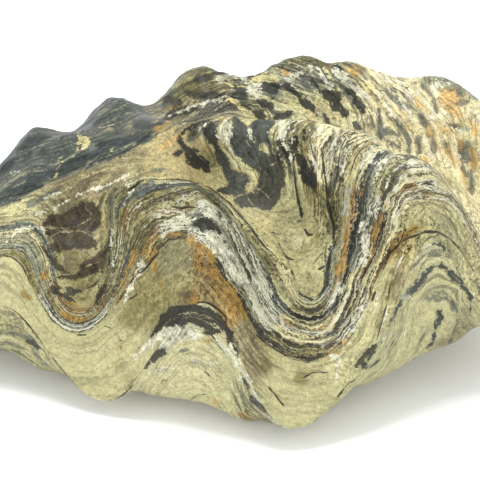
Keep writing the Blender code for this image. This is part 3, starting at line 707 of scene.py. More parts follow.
# Marks of the far side, in the same way
FAR_MARKS = {
    "dark": [
        [(160, 122, 3), (170, 115, 4), (180, 111, 4), (190, 109, 3), (197, 109, 1)],
        [(135, 126, 2), (145, 124, 3.5), (152, 125, 2)],
        [(120, 143, 3), (130, 139, 4), (142, 137, 5), (150, 133, 2.5)],
        [(100, 144, 3), (112, 141, 3), (122, 142, 3)],
        [(60, 169, 3), (72, 163, 4), (84, 158, 4), (97, 154, 3), (107, 152, 2)],
        [(30, 180, 3), (42, 176, 4), (52, 172, 3)], [(8, 191, 2.5), (22, 188, 3), (34, 184, 2)],
        [(86, 122, 2), (95, 118, 2)], [(22, 147, 3), (32, 142, 4), (46, 138, 3)],
        [(3, 167, 5), (12, 160, 3)], [(57, 133, 2), (65, 133, 2)], [(198, 80, 3), (208, 78, 4)],
        [(215, 71, 2), (223, 71, 2)], [(195, 95, 3), (205, 97, 4), (218, 96, 4), (226, 93, 2)],
        [(166, 99, 3), (178, 101, 2)], [(186, 92, 2), (194, 94, 2)], [(248, 77, 3), (255, 72, 3)],
        [(232, 95, 1), (240, 92, 3), (245, 95, 3), (246, 101, 1)],
        [(264, 86, 3), (272, 88, 5), (282, 86, 5), (290, 87, 4), (296, 93, 4), (301, 99, 3),
         (305, 106, 1.5)],
        [(259, 102, 2), (264, 103, 4), (271, 106, 3)], [(254, 112, 2), (262, 115, 3)],
        [(278, 117, 3), (288, 114, 3)], [(242, 103, 1), (250, 110, 1.5)],
        [(302, 94, 1), (308, 102, 2), (314, 110, 2), (319, 117, 1)], [(312, 100, 0.6), (317, 110, 1)],
        [(312, 78, 1), (318, 88, 2), (323, 97, 2)],
        [(324, 92, 3), (332, 97, 6), (337, 101, 4), (334, 108, 2)], [(341, 106, 3), (344, 112, 4)],
        [(346, 88, 1.5), (352, 92, 3), (356, 98, 1.5)], [(355, 101, 1.5), (361, 107, 4), (363, 112, 2.5)],
        [(356, 126, 2), (359, 128, 2)], [(323, 113, 2), (325, 118, 3), (327, 120, 1.5)],
        [(327, 123, 1.5), (336, 127, 0.8)], [(379, 110, 0.8), (380, 124, 2), (381, 137, 3)],
        [(395, 120, 1.5), (400, 126, 2.5), (405, 133, 2), (409, 142, 1.8), (409, 152, 1)],
        [(336, 66, 1.5), (340, 68, 1)],
    ],
    "grey": [
        [(382, 134, 3), (390, 131, 5.5), (397, 134, 4)], [(392, 143, 3), (398, 146, 2)],
        [(385, 85, 1), (388, 94, 2.5), (391, 98, 1)], [(393, 87, 1), (397, 96, 2.5), (403, 107, 2)],
        [(405, 103, 2), (411, 108, 1)], [(415, 113, 2), (421, 116, 3.5), (425, 125, 3.5)],
        [(418, 138, 2.5), (419, 150, 4), (417, 156, 1)], [(433, 138, 1), (434, 150, 3)],
        [(422, 84, 1.5), (430, 94, 1.5)], [(456, 88, 1.5), (461, 94, 2)], [(458, 104, 3), (467, 102, 3)],
        [(464, 134, 1), (467, 146, 2)], [(463, 155, 3.5), (468, 158, 3)], [(471, 172, 1), (471, 190, 3)],
        [(463, 168, 2), (466, 176, 1)], [(410, 120, 1.5), (415, 128, 1)], [(434, 100, 2), (436, 110, 2)],
        [(330, 70, 1), (338, 80, 2), (348, 88, 1)], [(358, 70, 1), (366, 80, 2)],
        [(352, 100, 1), (340, 84, 1.5)], [(300, 78, 2), (306, 86, 3), (312, 92, 1)],
        [(170, 92, 4), (165, 105, 3)], [(450, 125, 2), (458, 127, 2.5)],
    ],
    "pale": [
        [(432, 84, 0.3), (440, 100, 0.4), (446, 116, 0.5)],
        [(452, 128, 0.3), (456, 145, 0.4), (459, 165, 0.3)],
        [(418, 90, 0.5), (428, 106, 0.8), (436, 118, 0.5)],
        [(426, 140, 0.4), (432, 160, 0.5), (440, 180, 0.4)],
        [(160, 142, 0.3), (170, 133, 0.4), (180, 125, 0.8), (190, 120, 0.6)],
        [(170, 115, 0.2), (180, 112, 0.4), (190, 107, 0.5), (200, 104, 0.9), (210, 101, 1.3), (222, 98, 2),
         (228, 93, 1.2), (231, 90, 0.8)],
        [(250, 92, 2.5), (258, 95, 3), (266, 101, 2), (275, 108, 0.8)], [(247, 87, 1.5), (257, 84, 1.5)],
        [(286, 79, 1.5), (295, 75, 2), (302, 73, 1)], [(289, 82, 1), (297, 88, 1), (300, 94, 0.8)],
        [(311, 69, 3), (318, 68, 2)], [(321, 75, 2.5), (330, 85, 4), (336, 93, 1.5)],
        [(336, 72, 3), (345, 80, 4), (355, 88, 3), (363, 95, 2), (369, 99, 1)],
        [(397, 80, 1), (404, 89, 2), (411, 97, 2.5)], [(384, 78, 2.5), (388, 81, 1)],
        [(436, 84, 3), (446, 82, 2.5)], [(471, 112, 2), (478, 120, 2.5)],
        [(440, 121, 0.8), (448, 126, 1.2)], [(460, 131, 2), (468, 128, 1.5)],
        [(421, 110, 0.7), (432, 122, 0.8), (440, 126, 0.6)], [(384, 116, 1.5), (385, 124, 1)],
        [(218, 79, 2), (228, 77, 3), (240, 77, 2), (248, 82, 1)], [(12, 173, 1.5), (18, 172, 1.5)],
        [(100, 127, 0.3), (115, 124, 0.5)], [(400, 100, 0.8), (412, 120, 0.6)],
        [(375, 88, 0.6), (395, 118, 0.5)],
    ],
    "cream": [
        [(228, 98, 2), (236, 102, 2), (244, 109, 2.5), (251, 117, 2)],
        [(244, 103, 1), (255, 112, 2), (266, 117, 2)],
        [(278, 98, 3), (290, 103, 5), (303, 109, 6), (315, 116, 6)],
        [(312, 95, 2), (318, 103, 4), (325, 112, 4), (335, 118, 4)],
        [(253, 80, 3), (265, 78, 4), (275, 80, 2)], [(232, 84, 2), (242, 86, 2), (250, 88, 1)],
        [(308, 68, 1), (315, 80, 1), (322, 92, 1)], [(330, 88, 1), (337, 96, 1)],
        [(74, 156, 1), (78, 148, 1.5), (80, 138, 1.5), (77, 132, 1.5)], [(81, 139, 0.8), (87, 136, 1.5)],
        [(55, 175, 1.5), (58, 168, 2), (62, 163, 1.5)], [(58, 160, 1), (59, 157, 0.8)],
        [(110, 153, 2), (112, 150, 1)], [(85, 146, 1.5), (88, 142, 1.5)], [(140, 133, 0.8), (150, 131, 1)],
        [(325, 68, 1), (333, 80, 1.5), (340, 88, 1)],
        [(360, 80, 1.5), (370, 95, 2), (384, 112, 3), (395, 130, 2)],
        [(365, 72, 1), (378, 90, 1.5), (390, 108, 1)],
    ],
    "ochre": [
        [(441, 95, 2), (448, 94, 4), (456, 98, 4), (462, 104, 3)],
        [(444, 104, 4), (452, 110, 5), (460, 114, 3)], [(427, 133, 2), (435, 137, 2)],
        [(418, 100, 1), (428, 112, 1.5), (440, 128, 1.5)], [(470, 120, 2), (476, 132, 2)],
        [(352, 70, 1.5), (356, 72, 2)], [(283, 73, 1.5), (287, 74, 1.5)], [(366, 84, 1), (374, 96, 1.5)],
        [(448, 150, 3), (455, 165, 2)], [(381, 102, 0.8), (392, 110, 1.5)], [(425, 160, 2), (432, 175, 2)],
        [(412, 95, 0.6), (422, 112, 0.8), (432, 132, 1), (438, 150, 1)], [(462, 170, 1), (468, 190, 1)],
        [(404, 112, 0.6), (412, 130, 1)], [(386, 120, 1.2), (391, 124, 0.8)],
    ],
    "rust": [
        [(130, 141, 1), (145, 134, 2), (158, 127, 2.5), (170, 122, 1.5)], [(165, 108, 1), (178, 106, 1.5)],
        [(462, 142, 3), (463, 148, 2)], [(455, 135, 1), (458, 150, 1.5), (462, 160, 1)],
        [(428, 118, 0.6), (434, 135, 1)], [(472, 150, 0.8), (475, 170, 1)],
    ],
    "line": [
        [(55, 177, 0.4), (90, 163, 0.6), (120, 153, 0.6), (140, 144, 0.5)],
        [(0, 199, 0.6), (30, 190, 0.6), (55, 180, 0.5)], [(318, 62, 0.4), (328, 80, 0.6), (345, 104, 0.5)],
        [(345, 90, 0.4), (360, 103, 0.5)],
    ],
}

# Levels of the lower valve, 0 at the crack: level, pixels along the line
LOWER_LINES = [
    (16, [(128, 385), (145, 362), (160, 338), (172, 324), (185, 318), (198, 320), (210, 328), (222, 342),
          (235, 365), (248, 395)]),
    (45, [(150, 385), (168, 362), (182, 352), (200, 350), (215, 357), (228, 375), (238, 398)]),
    (12, [(392, 330), (402, 295), (414, 265), (430, 248), (446, 248), (460, 258), (474, 280)]),
    (26, [(399, 322), (404, 300), (415, 288), (425, 272), (438, 264), (448, 268), (460, 282), (468, 290),
          (472, 305)]),
    (50, [(420, 325), (428, 305), (438, 297), (448, 300), (452, 310)]),
    (14, [(0, 335), (20, 338), (40, 352)]),
]

# Ground colour of the lower valve
LOWER_GROUND = [
    ("cream", [(430, 250, 10), (448, 256, 8), (190, 375, 22), (180, 345, 12), (210, 365, 14),
               (160, 375, 10)]),
    ("pale", [(220, 385, 16), (240, 405, 12), (410, 345, 10), (200, 390, 16), (395, 320, 12),
              (385, 345, 12), (405, 300, 8), (425, 325, 12), (452, 325, 10), (445, 285, 10)]),
    ("white", [(150, 340, 6), (165, 345, 6), (175, 337, 6), (190, 335, 5)]),
    ("tan", [(458, 330, 8), (460, 272, 5), (448, 345, 7)]),
    ("yellow", [(205, 340, 4), (155, 355, 4), (410, 265, 6), (405, 280, 5)]),
    ("orange", [(462, 273, 4), (215, 402, 4), (245, 415, 4)]),
    ("pale olive", [(20, 350, 8), (60, 385, 8), (440, 240, 8), (465, 255, 6)]),
]

# Marks of the lower valve, in the same way
LOWER_MARKS = {
    "vein": [
        [(424, 282, 0.2), (431, 270, 0.3), (438, 266, 0.3)],
        [(450, 273, 0.2), (458, 280, 0.3), (466, 287, 0.3)], [(365, 358, 0.2), (374, 349, 0.2)],
        [(436, 316, 0.2), (437, 326, 0.2)],
    ],
    "dark": [
        [(403, 299, 0.5), (411, 294, 1.2), (418, 286, 1.8), (426, 275, 2.6), (434, 267, 2.6),
         (442, 266, 2.6), (449, 272, 2.6), (456, 278, 2.4), (464, 283, 2), (469, 290, 1.8), (471, 301, 1.6),
         (470, 312, 1)],
        [(434, 244, 0.2), (446, 247, 0.6), (456, 254, 0.9), (463, 262, 1.2), (468, 272, 1.2)],
        [(438, 310, 0.8), (440, 318, 1.5), (435, 329, 1.3), (434, 343, 1.3), (428, 349, 0.9)],
        [(401, 300, 0.8), (397, 309, 1.3), (393, 320, 1.6), (388, 332, 1), (380, 345, 0.6)],
        [(157, 328, 2), (164, 320, 4), (173, 314, 5), (184, 311, 5), (195, 311, 5), (206, 314, 5),
         (215, 319, 4), (222, 325, 3.5), (228, 332, 3), (232, 345, 1.5)],
        [(186, 320, 2), (195, 320, 2.5), (204, 324, 3), (212, 330, 3), (220, 331, 3)],
        [(207, 333, 2), (216, 332, 2)], [(154, 358, 3), (161, 352, 4.5), (163, 348, 3)],
        [(139, 369, 2.5), (147, 364, 3)], [(141, 356, 1.5), (145, 354, 1.5)],
        [(214, 337, 1), (221, 345, 1.2), (226, 352, 1)], [(230, 342, 1), (235, 350, 1.5), (237, 354, 1)],
        [(244, 381, 2), (249, 390, 1.5)], [(251, 397, 2.5), (258, 405, 5), (264, 412, 3.5)],
        [(268, 417, 1.5), (275, 421, 1.2)], [(358, 366, 1), (363, 360, 4), (370, 350, 4), (376, 346, 2)],
        [(365, 366, 1.5), (375, 352, 1.5)], [(371, 367, 1), (378, 360, 1)],
        [(24, 340, 1), (32, 343, 1.5), (38, 348, 1)], [(390, 326, 1.5), (394, 318, 1.5)],
        [(440, 312, 0.8), (442, 317, 1.5)],
    ],
    "grey": [
        [(0, 333, 3), (12, 333, 4), (24, 337, 4), (34, 343, 3), (39, 349, 1)], [(8, 343, 1), (20, 348, 1)],
        [(34, 352, 1), (42, 360, 1), (50, 370, 1), (60, 383, 1)], [(400, 305, 2), (404, 297, 1.5)],
        [(450, 257, 0.8), (457, 262, 1), (464, 270, 1.2), (471, 276, 1.2), (474, 286, 0.8)],
        [(452, 300, 0.8), (458, 312, 1.3), (456, 326, 1.2), (450, 340, 1)],
        [(425, 300, 0.4), (432, 294, 0.7), (442, 291, 0.9), (450, 297, 0.7)],
        [(398, 287, 0.2), (410, 270, 0.4), (424, 256, 0.4), (438, 250, 0.4), (450, 252, 0.4),
         (462, 262, 0.4), (470, 276, 0.4)],
        [(394, 282, 0.2), (406, 264, 0.3), (420, 251, 0.4), (434, 246, 0.4), (448, 247, 0.3)],
        [(408, 292, 0.3), (416, 281, 0.4), (424, 271, 0.3)],
        [(428, 257, 0.6), (438, 255, 0.8), (450, 257, 1)],
        [(430, 301, 0.5), (436, 296, 1), (443, 294, 0.8)],
        [(437, 301, 0.6), (445, 297, 1), (451, 302, 0.8), (452, 310, 0.6)],
        [(438, 322, 1), (434, 335, 1.5), (432, 345, 1.5)], [(440, 242, 1), (450, 248, 1), (462, 254, 0.8)],
        [(400, 330, 1), (396, 340, 1), (388, 352, 0.8)], [(420, 345, 1), (428, 330, 0.8)],
        [(450, 340, 2), (457, 325, 2), (462, 312, 1.5)], [(180, 352, 0.8), (186, 351, 0.8)],
        [(384, 350, 1), (390, 342, 1), (395, 335, 1)], [(176, 326, 2), (182, 328, 2)],
        [(240, 392, 0.8), (244, 402, 0.8), (246, 412, 0.6)],
    ],
    "pale": [
        [(391, 262, 0.6), (386, 272, 1), (382, 282, 0.6)], [(399, 250, 0.4), (394, 257, 0.7)],
        [(404, 262, 0.3), (399, 270, 0.6), (396, 280, 0.4)], [(407, 248, 0.2), (414, 242, 0.4)],
        [(372, 330, 0.8), (377, 322, 1)], [(383, 338, 0.8), (388, 332, 0.8), (380, 350, 0.6)],
        [(133, 358, 1.5), (140, 350, 2), (150, 342, 3), (158, 334, 3), (162, 329, 2)],
        [(150, 371, 1), (160, 371, 2), (169, 368, 1.2)],
        [(164, 346, 3), (174, 339, 3.5), (186, 336, 3), (198, 336, 2)],
        [(216, 337, 1), (224, 348, 1.3), (231, 357, 2), (238, 366, 2), (245, 376, 2.5), (248, 380, 1)],
        [(252, 391, 1.5), (262, 402, 2.5), (268, 409, 2.5)],
        [(264, 415, 1.5), (270, 419, 1.5), (283, 426, 2)],
        [(110, 393, 2), (120, 388, 2), (128, 380, 2), (135, 374, 2)], [(101, 401, 1.5), (112, 401, 1.5)],
        [(240, 380, 1), (245, 390, 1)], [(405, 335, 1), (410, 332, 2)], [(428, 246, 1.5), (426, 247, 1)],
        [(400, 263, 2), (408, 253, 1)], [(470, 262, 1), (477, 272, 2)], [(404, 298, 1.5), (408, 297, 1.5)],
        [(190, 360, 0.5), (206, 365, 1), (216, 363, 1)], [(232, 352, 1.5), (231, 345, 0.8)],
    ],
    "cream": [
        [(180, 345, 1), (190, 343, 1)],
    ],
    "rust": [
        [(25, 343, 2), (28, 344, 1.5)], [(208, 341, 2), (213, 342, 1.5)],
        [(456, 265, 1.5), (460, 272, 2.5), (463, 276, 1)], [(240, 415, 1.5), (246, 418, 1.5)],
        [(392, 262, 1.2), (396, 268, 1), (398, 258, 1.2)], [(390, 275, 1.2), (387, 290, 0.9)],
        [(405, 252, 0.6), (416, 240, 0.6)],
    ],
    "line": [
        [(189, 401, 0.8), (196, 398, 0.5), (204, 396, 0.5)], [(206, 373, 0.6), (209, 376, 0.6)],
        [(162, 382, 0.8), (166, 381, 0.6)], [(130, 388, 1.2), (134, 386, 0.8)],
        [(390, 355, 0.6), (398, 344, 0.5)], [(120, 398, 0.6), (128, 390, 0.5)],
    ],
}

# How strongly the layers show outside the band: share, then pixels and radius of its places
STRIPES = [
    (0.9, [(290, 150, 16), (345, 160, 16), (250, 140, 16)]),
    (0.7, [(322, 140, 12), (380, 158, 16), (415, 175, 14), (445, 195, 12)]),
    (0.6, [(75, 230, 20), (60, 200, 14), (225, 150, 12), (20, 215, 14)]),
    (0.28, [(100, 360, 26), (30, 300, 20), (70, 390, 16), (350, 370, 14)]),
    (0.5, [(250, 350, 14)]),
    (0.25, [(165, 265, 14), (150, 305, 18), (180, 300, 12), (290, 235, 24), (330, 400, 26),
            (300, 290, 12)]),
    (0.2, [(430, 225, 12), (180, 160, 14)]),
    (0.45, [(385, 275, 12), (375, 310, 12), (362, 340, 10)]),
]
FAR_STRIPES = [
    (0.45, [(60, 155, 30), (20, 175, 20), (120, 130, 16)]),
    (0.6, [(175, 105, 16), (195, 80, 14)]),
    (1.0, [(230, 85, 12)]),
    (0.75, [(350, 85, 16), (385, 100, 18)]),
    (0.8, [(280, 85, 16), (310, 85, 16)]),
    (0.5, [(430, 110, 20), (320, 115, 12), (415, 140, 14)]),
    (0.42, [(440, 85, 12), (465, 110, 14), (455, 165, 18)]),
]
LOWER_STRIPES = [
    (0.35, [(190, 375, 22), (170, 345, 14), (430, 330, 18)]),
    (0.5, [(455, 280, 14)]),
    (0.7, [(60, 375, 26), (20, 345, 14), (250, 405, 12)]),
    (0.3, [(400, 345, 12), (420, 330, 12)]),
]

# How strong the grain is: share, then pixels and radius of its places
GRAIN = [
    (0.35, [(90, 365, 24), (20, 300, 20), (120, 340, 12), (300, 410, 20), (330, 395, 16)]),
    (0.7, [(165, 265, 20), (60, 200, 20), (90, 250, 20), (260, 160, 20), (345, 370, 12)]),
    (0.6, [(290, 230, 24), (180, 165, 12), (305, 285, 12), (440, 130, 20), (460, 170, 14), (455, 95, 12)]),
    (0.5, [(380, 300, 16), (370, 330, 12), (388, 270, 10)]),
    (1.1, [(230, 295, 16), (200, 270, 14)]),
    (1.0, [(430, 225, 16)]),
    (1.8, [(400, 240, 8)]),
    (1.3, [(440, 300, 16), (430, 340, 14)]),
]

# Colour of the dark marks by place
DARK_TONES = [
    ("brown black", [(75, 215, 14), (90, 210, 10), (75, 240, 12), (95, 264, 12), (70, 280, 8)]),
    ("charcoal", [(70, 300, 8), (365, 355, 12), (280, 175, 8), (270, 190, 10)]),
    ("black", [(200, 160, 12), (305, 170, 12), (325, 170, 10), (332, 210, 10), (205, 225, 8), (290, 145, 6),
               (155, 330, 12), (170, 316, 12), (190, 310, 12), (215, 320, 12), (232, 345, 8)]),
    ("blue black", [(245, 145, 10), (262, 135, 8), (240, 182, 8)]),
]
FAR_TONES = [
    ("slate black", [(60, 160, 26), (20, 180, 20), (130, 140, 14), (30, 145, 14)]),
    ("charcoal", [(175, 113, 14), (210, 90, 14), (250, 95, 12)]),
    ("leaf", [(285, 90, 14), (330, 100, 14), (360, 110, 14)]),
    ("warm slate", [(400, 120, 16), (440, 110, 20)]),
]
LOWER_TONES = [
    ("black", [(155, 330, 12), (170, 316, 12), (190, 312, 16), (215, 322, 12), (230, 340, 8)]),
    ("charcoal", [(160, 355, 10), (365, 355, 12), (260, 410, 14), (30, 345, 12)]),
    ("slate black", [(425, 275, 16), (455, 278, 16), (438, 325, 14), (395, 315, 10)]),
]

# Places of the open crack between the valves: pixel and half length along the crack
OPEN_CRACK = [(20, 327, 14), (33, 341, 8), (430, 233, 22), (460, 255, 14)]

# Levels of the lower valve on rings at a share of the outline, round the far side or all round,
# and the step between the points of a ring
LOWER_RINGS = [(0.0, 1.0, True), (40.0, 0.88, False), (90.0, 0.6, False), (140.0, 0.2, False)]
RIM_STRIDE = 14

# First station at which the logs run on over the roll of the right crest, the stations over which
# that begins, the level they reach there, and the levels over which the band's edge fades
ROLL_STATION = 29.0
ROLL_CHANGE = 3.0
ROLL_LEVEL = 100.0
BAND_FADE = 3.0

# Level at which the logs end below the roll, just past the band's upper limit
BAND_TOP = BAND + 1.5

# Grain of the far side and of the lower valve
FAR_GRAIN = 0.8
LOWER_GRAIN = 0.5

# Roughness of the surface: size, height and random seed of its lumps
LUMPS = [(0.0060, 0.00035, 11), (0.0022, 0.00018, 12), (0.0009, 0.00008, 13)]

# Layers that stand proud: their length, their thickness in levels, their height and their seed
LEDGE_LENGTH = 0.012
LEDGE_LEVELS = 5.0
LEDGE_HEIGHT = 0.00028
LEDGE_SEED = 21

# Depth of the cracks, and the power of rho with which all roughness ends at the edge
CRACK_DEPTH = 0.00028
EDGE_POWER = 60

# Cells of the grid that carries an outside, along the shell and across it, rings of its closed
# inner face, and the power with which they lie closer at the edge
ALONG, ACROSS = 390, 230
INNER_RINGS = 6
INNER_POWER = 1.6

# How much closer the grid's lines lie at the middle of the shell's length than at its ends, and
# on its near side than on its far side
GATHER_MIDDLE, GATHER_NEAR = 0.45, 0.40

# Half height of the crack where it is closed, what an open place adds, and how fast that closes
HALF_CRACK = 0.00006
OPENING = 0.00030
OPENING_POWER = 24


def disc():
    """A grid laid on a disc. Each rectangle of the grid round the middle becomes a circle: rho
    grows with its half side, and the turn is how far along its four sides a point lies."""
    s, t = np.linspace(-1.0, 1.0, ALONG + 1), np.linspace(-1.0, 1.0, ACROSS + 1)
    along = (1.0 - GATHER_MIDDLE) * s + GATHER_MIDDLE * s ** 3
    across = t - 0.5 * GATHER_NEAR * (1.0 - t ** 2)
    a, b = np.meshgrid(along, across, indexing="ij")
    wide = np.abs(a) >= np.abs(b)
    half = np.where(wide, a, b)
    share = np.where(wide, b, a) / np.where(half == 0.0, 1.0, half)
    turn = np.where(wide, share, 2.0 - share) / 8.0 + np.where(half < 0.0, 0.5, 0.0)
    return np.sin(0.5 * math.pi * np.abs(half)), turn % 1.0


def plan(rho, turn):
    """Place on the ground of a point at rho times the outline."""
    edge = spline(RIM, turn, closed=True)
    return edge[..., 0] * rho, edge[..., 1] * rho


def border():
    """Numbers of the grid's outermost points, anticlockwise from the near right corner."""
    along, across = np.arange(ALONG), np.arange(ACROSS)
    rows = np.concatenate([np.full(ACROSS, ALONG), ALONG - along, np.zeros(ACROSS, int), along])
    columns = np.concatenate([across, np.full(ALONG, ACROSS), ACROSS - across, np.zeros(ALONG, int)])
    return rows * (ACROSS + 1) + columns


# Cubes of random values along each side of the block that repeats
BLOCK = 32


def rough(points, seed):
    """Smooth random heights from -1 to 1: seeded values at the corners of unit cubes, eased
    between. The block of values repeats after BLOCK cubes."""
    block = np.random.default_rng(seed).uniform(-1.0, 1.0, (BLOCK, BLOCK, BLOCK))
    low = np.floor(points).astype(int)
    part = ease(points - low)
    total = 0.0
    for corner in np.ndindex(2, 2, 2):
        weight = np.prod(np.where(np.array(corner) == 1, part, 1.0 - part), axis=-1)
        x, y, z = np.moveaxis((low + corner) % BLOCK, -1, 0)
        total = total + weight * block[x, y, z]
    return total


# Least length that a normal is divided by
LEAST_LENGTH = 1e-12


def outward(grid):
    """Normals of a grid of points: the cross product of its two directions."""
    normal = np.cross(np.gradient(grid, axis=0), np.gradient(grid, axis=1))
    return normal / np.maximum(np.linalg.norm(normal, axis=-1, keepdims=True), LEAST_LENGTH)


def seen(points):
    """Where the photograph's camera sees the points: pixels across and down, and depth in
    pixels times DEPTH_SHARE."""
    away = points - np.array(EYE)
    depth = away[..., 1] * math.cos(TILT) - away[..., 2] * math.sin(TILT)
    up = away[..., 1] * math.sin(TILT) + away[..., 2] * math.cos(TILT)
    centre = 0.5 * PICTURE
    return np.stack([centre + FOCAL * away[..., 0] / depth, centre - FOCAL * up / depth,
                     depth / PIXEL * DEPTH_SHARE], axis=-1)


# Reach of a traced pixel on the surface, and how much further than the closest point others
# count where none is within reach, in pixels
REACH = 1.6
REACH_BEYOND = 0.1


def settle(pixels, surface):
    """The pixels, each with the depth of the surface there: that of the nearest of its points
    within REACH of the pixel, or else of the point closest to it."""
    pixels = np.atleast_2d(np.asarray(pixels, float))[:, :2]
    depth = np.empty(len(pixels))
    for k, pixel in enumerate(pixels):
        gap = np.abs(surface[:, :2] - pixel).max(axis=1)
        near = gap < max(REACH, gap.min() + REACH_BEYOND)
        depth[k] = surface[near, 2].min()
    return np.column_stack([pixels, depth])


# Rounding of a level field at its given points and how far it may miss them, in pixels, the
# unit of its slope, and how many points are worked out at a time
ROUNDING = 6.0
SLACK = 0.6
SLOPE_UNIT = 100.0
BATCH = 20000


def field(places, values, points):
    """A smooth value over the points that takes the given values at the places: a sum of cones
    rounded at the tip, sqrt(distance^2 + ROUNDING^2), plus a slope, solved for their weights."""
    centre, n = places.mean(axis=0), len(places)

    def cones(at):
        square = (at ** 2).sum(axis=1)[:, None] + (places ** 2).sum(axis=1)[None, :]
        return np.sqrt(np.maximum(square - 2.0 * at @ places.T, 0.0) + ROUNDING ** 2)

    def slope(at):
        return np.column_stack([np.ones(len(at)), (at - centre) / SLOPE_UNIT])

    system = np.zeros((n + 4, n + 4))
    system[:n, :n] = cones(places) - SLACK * np.eye(n)
    system[:n, n:] = slope(places)
    system[n:, :n] = slope(places).T
    weights = np.linalg.solve(system, np.concatenate([values, np.zeros(4)]))
    parts = np.array_split(points, max(1, len(points) // BATCH))
    return np.concatenate([cones(part) @ weights[:n] + slope(part) @ weights[n:] for part in parts])


def lines_on(lines, surface):
    """Points and values of lines that each keep one value."""
    places = np.concatenate([settle(pixels, surface) for _, pixels in lines])
    values = np.concatenate([np.full(len(pixels), float(value)) for value, pixels in lines])
    return places, values


# Distance beyond which a stroke no longer counts, in pixels
CUT = 10.0


def strokes_on(kind, tables, surface):
    """For each point the nearest of a kind's strokes in the tables: distance from its edge,
    below 0 inside it, distance from its middle line, below 0 on one side, and its half width."""
    nearest = np.tile([CUT, CUT, 0.0], (len(surface), 1))
    for stroke in [stroke for table in tables for stroke in table.get(kind, [])]:
        path = settle(stroke, surface)
        width = np.array([point[2] for point in stroke])
        margin = CUT + width.max()
        low, high = path[:, :2].min(axis=0) - margin, path[:, :2].max(axis=0) + margin
        near = np.flatnonzero(((surface[:, :2] > low) & (surface[:, :2] < high)).all(axis=1))
        at = surface[near]
        for a, b, wa, wb in zip(path[:-1], path[1:], width[:-1], width[1:]):
            run = b - a
            t = np.clip((at - a) @ run / (run @ run), 0.0, 1.0)
            off = at - a - t[:, None] * run
            far, half = np.linalg.norm(off, axis=1), wa + (wb - wa) * t
            side = np.sign(off[:, 1] * run[0] - off[:, 0] * run[1])
            closer = far - half < nearest[near, 0]
            nearest[near[closer]] = np.column_stack([far - half, far * side, half])[closer]
    return nearest


# Power that turns a screen value into light
SCREEN_POWER = 2.2


def linear(name):
    """A colour of the list as light."""
    return tuple((np.array(COLOURS[name]) / 255.0) ** SCREEN_POWER)


# Square of the core of a spot, as a share of its radius squared
SPOT_CORE = 0.1


def blended(spots, surface):
    """Values over the points from values at spots, (value, pixel across, down, radius), each
    weighted by 1 / (distance^2 / radius^2 + SPOT_CORE)^2."""
    total, weights = 0.0, 0.0
    for value, across, down, radius in spots:
        square = ((surface - settle((across, down), surface)[0]) ** 2).sum(axis=1)
        weight = 1.0 / (square / radius ** 2 + SPOT_CORE) ** 2
        total = total + weight[:, None] * np.atleast_1d(value)
        weights = weights + weight
    return total / weights[:, None]


def colours_on(places, surface):
    """Colour over the points from a list of colours and their places."""
    return blended([(linear(name), *spot) for name, spots in places for spot in spots], surface)


def number_on(places, surface):
    """A number over the points from a list of numbers and their places."""
    return blended([(number, *spot) for number, spots in places for spot in spots], surface)[:, 0]


class Value:
    """A number socket with arithmetic: an expression adds its Math nodes."""

    def __init__(self, graph, socket):
        self.graph, self.socket = graph, socket

    def _maths(self, operation, a, b):
        return self.graph.node("ShaderNodeMath", {"operation": operation}, {0: a, 1: b})

    def __add__(self, other):
        return self._maths("ADD", self, other)

    def __sub__(self, other):
        return self._maths("SUBTRACT", self, other)

    def __rsub__(self, other):
        return self._maths("SUBTRACT", other, self)

    def __mul__(self, other):
        return self._maths("MULTIPLY", self, other)

    __radd__ = __add__

    def largest(self, other):
        return self._maths("MAXIMUM", self, other)

    def least(self, other):
        return self._maths("MINIMUM", self, other)

    def step(self, low, high):
        """0 at low, 1 at high, eased between."""
        inputs = {"Value": self, "From Min": low, "From Max": high}
        return self.graph.node("ShaderNodeMapRange", {"interpolation_type": "SMOOTHSTEP"}, inputs)


# Distance from the edge up to which a stroke thinner than the mesh's cells is read, in pixels
THIN_REACH = 1.2


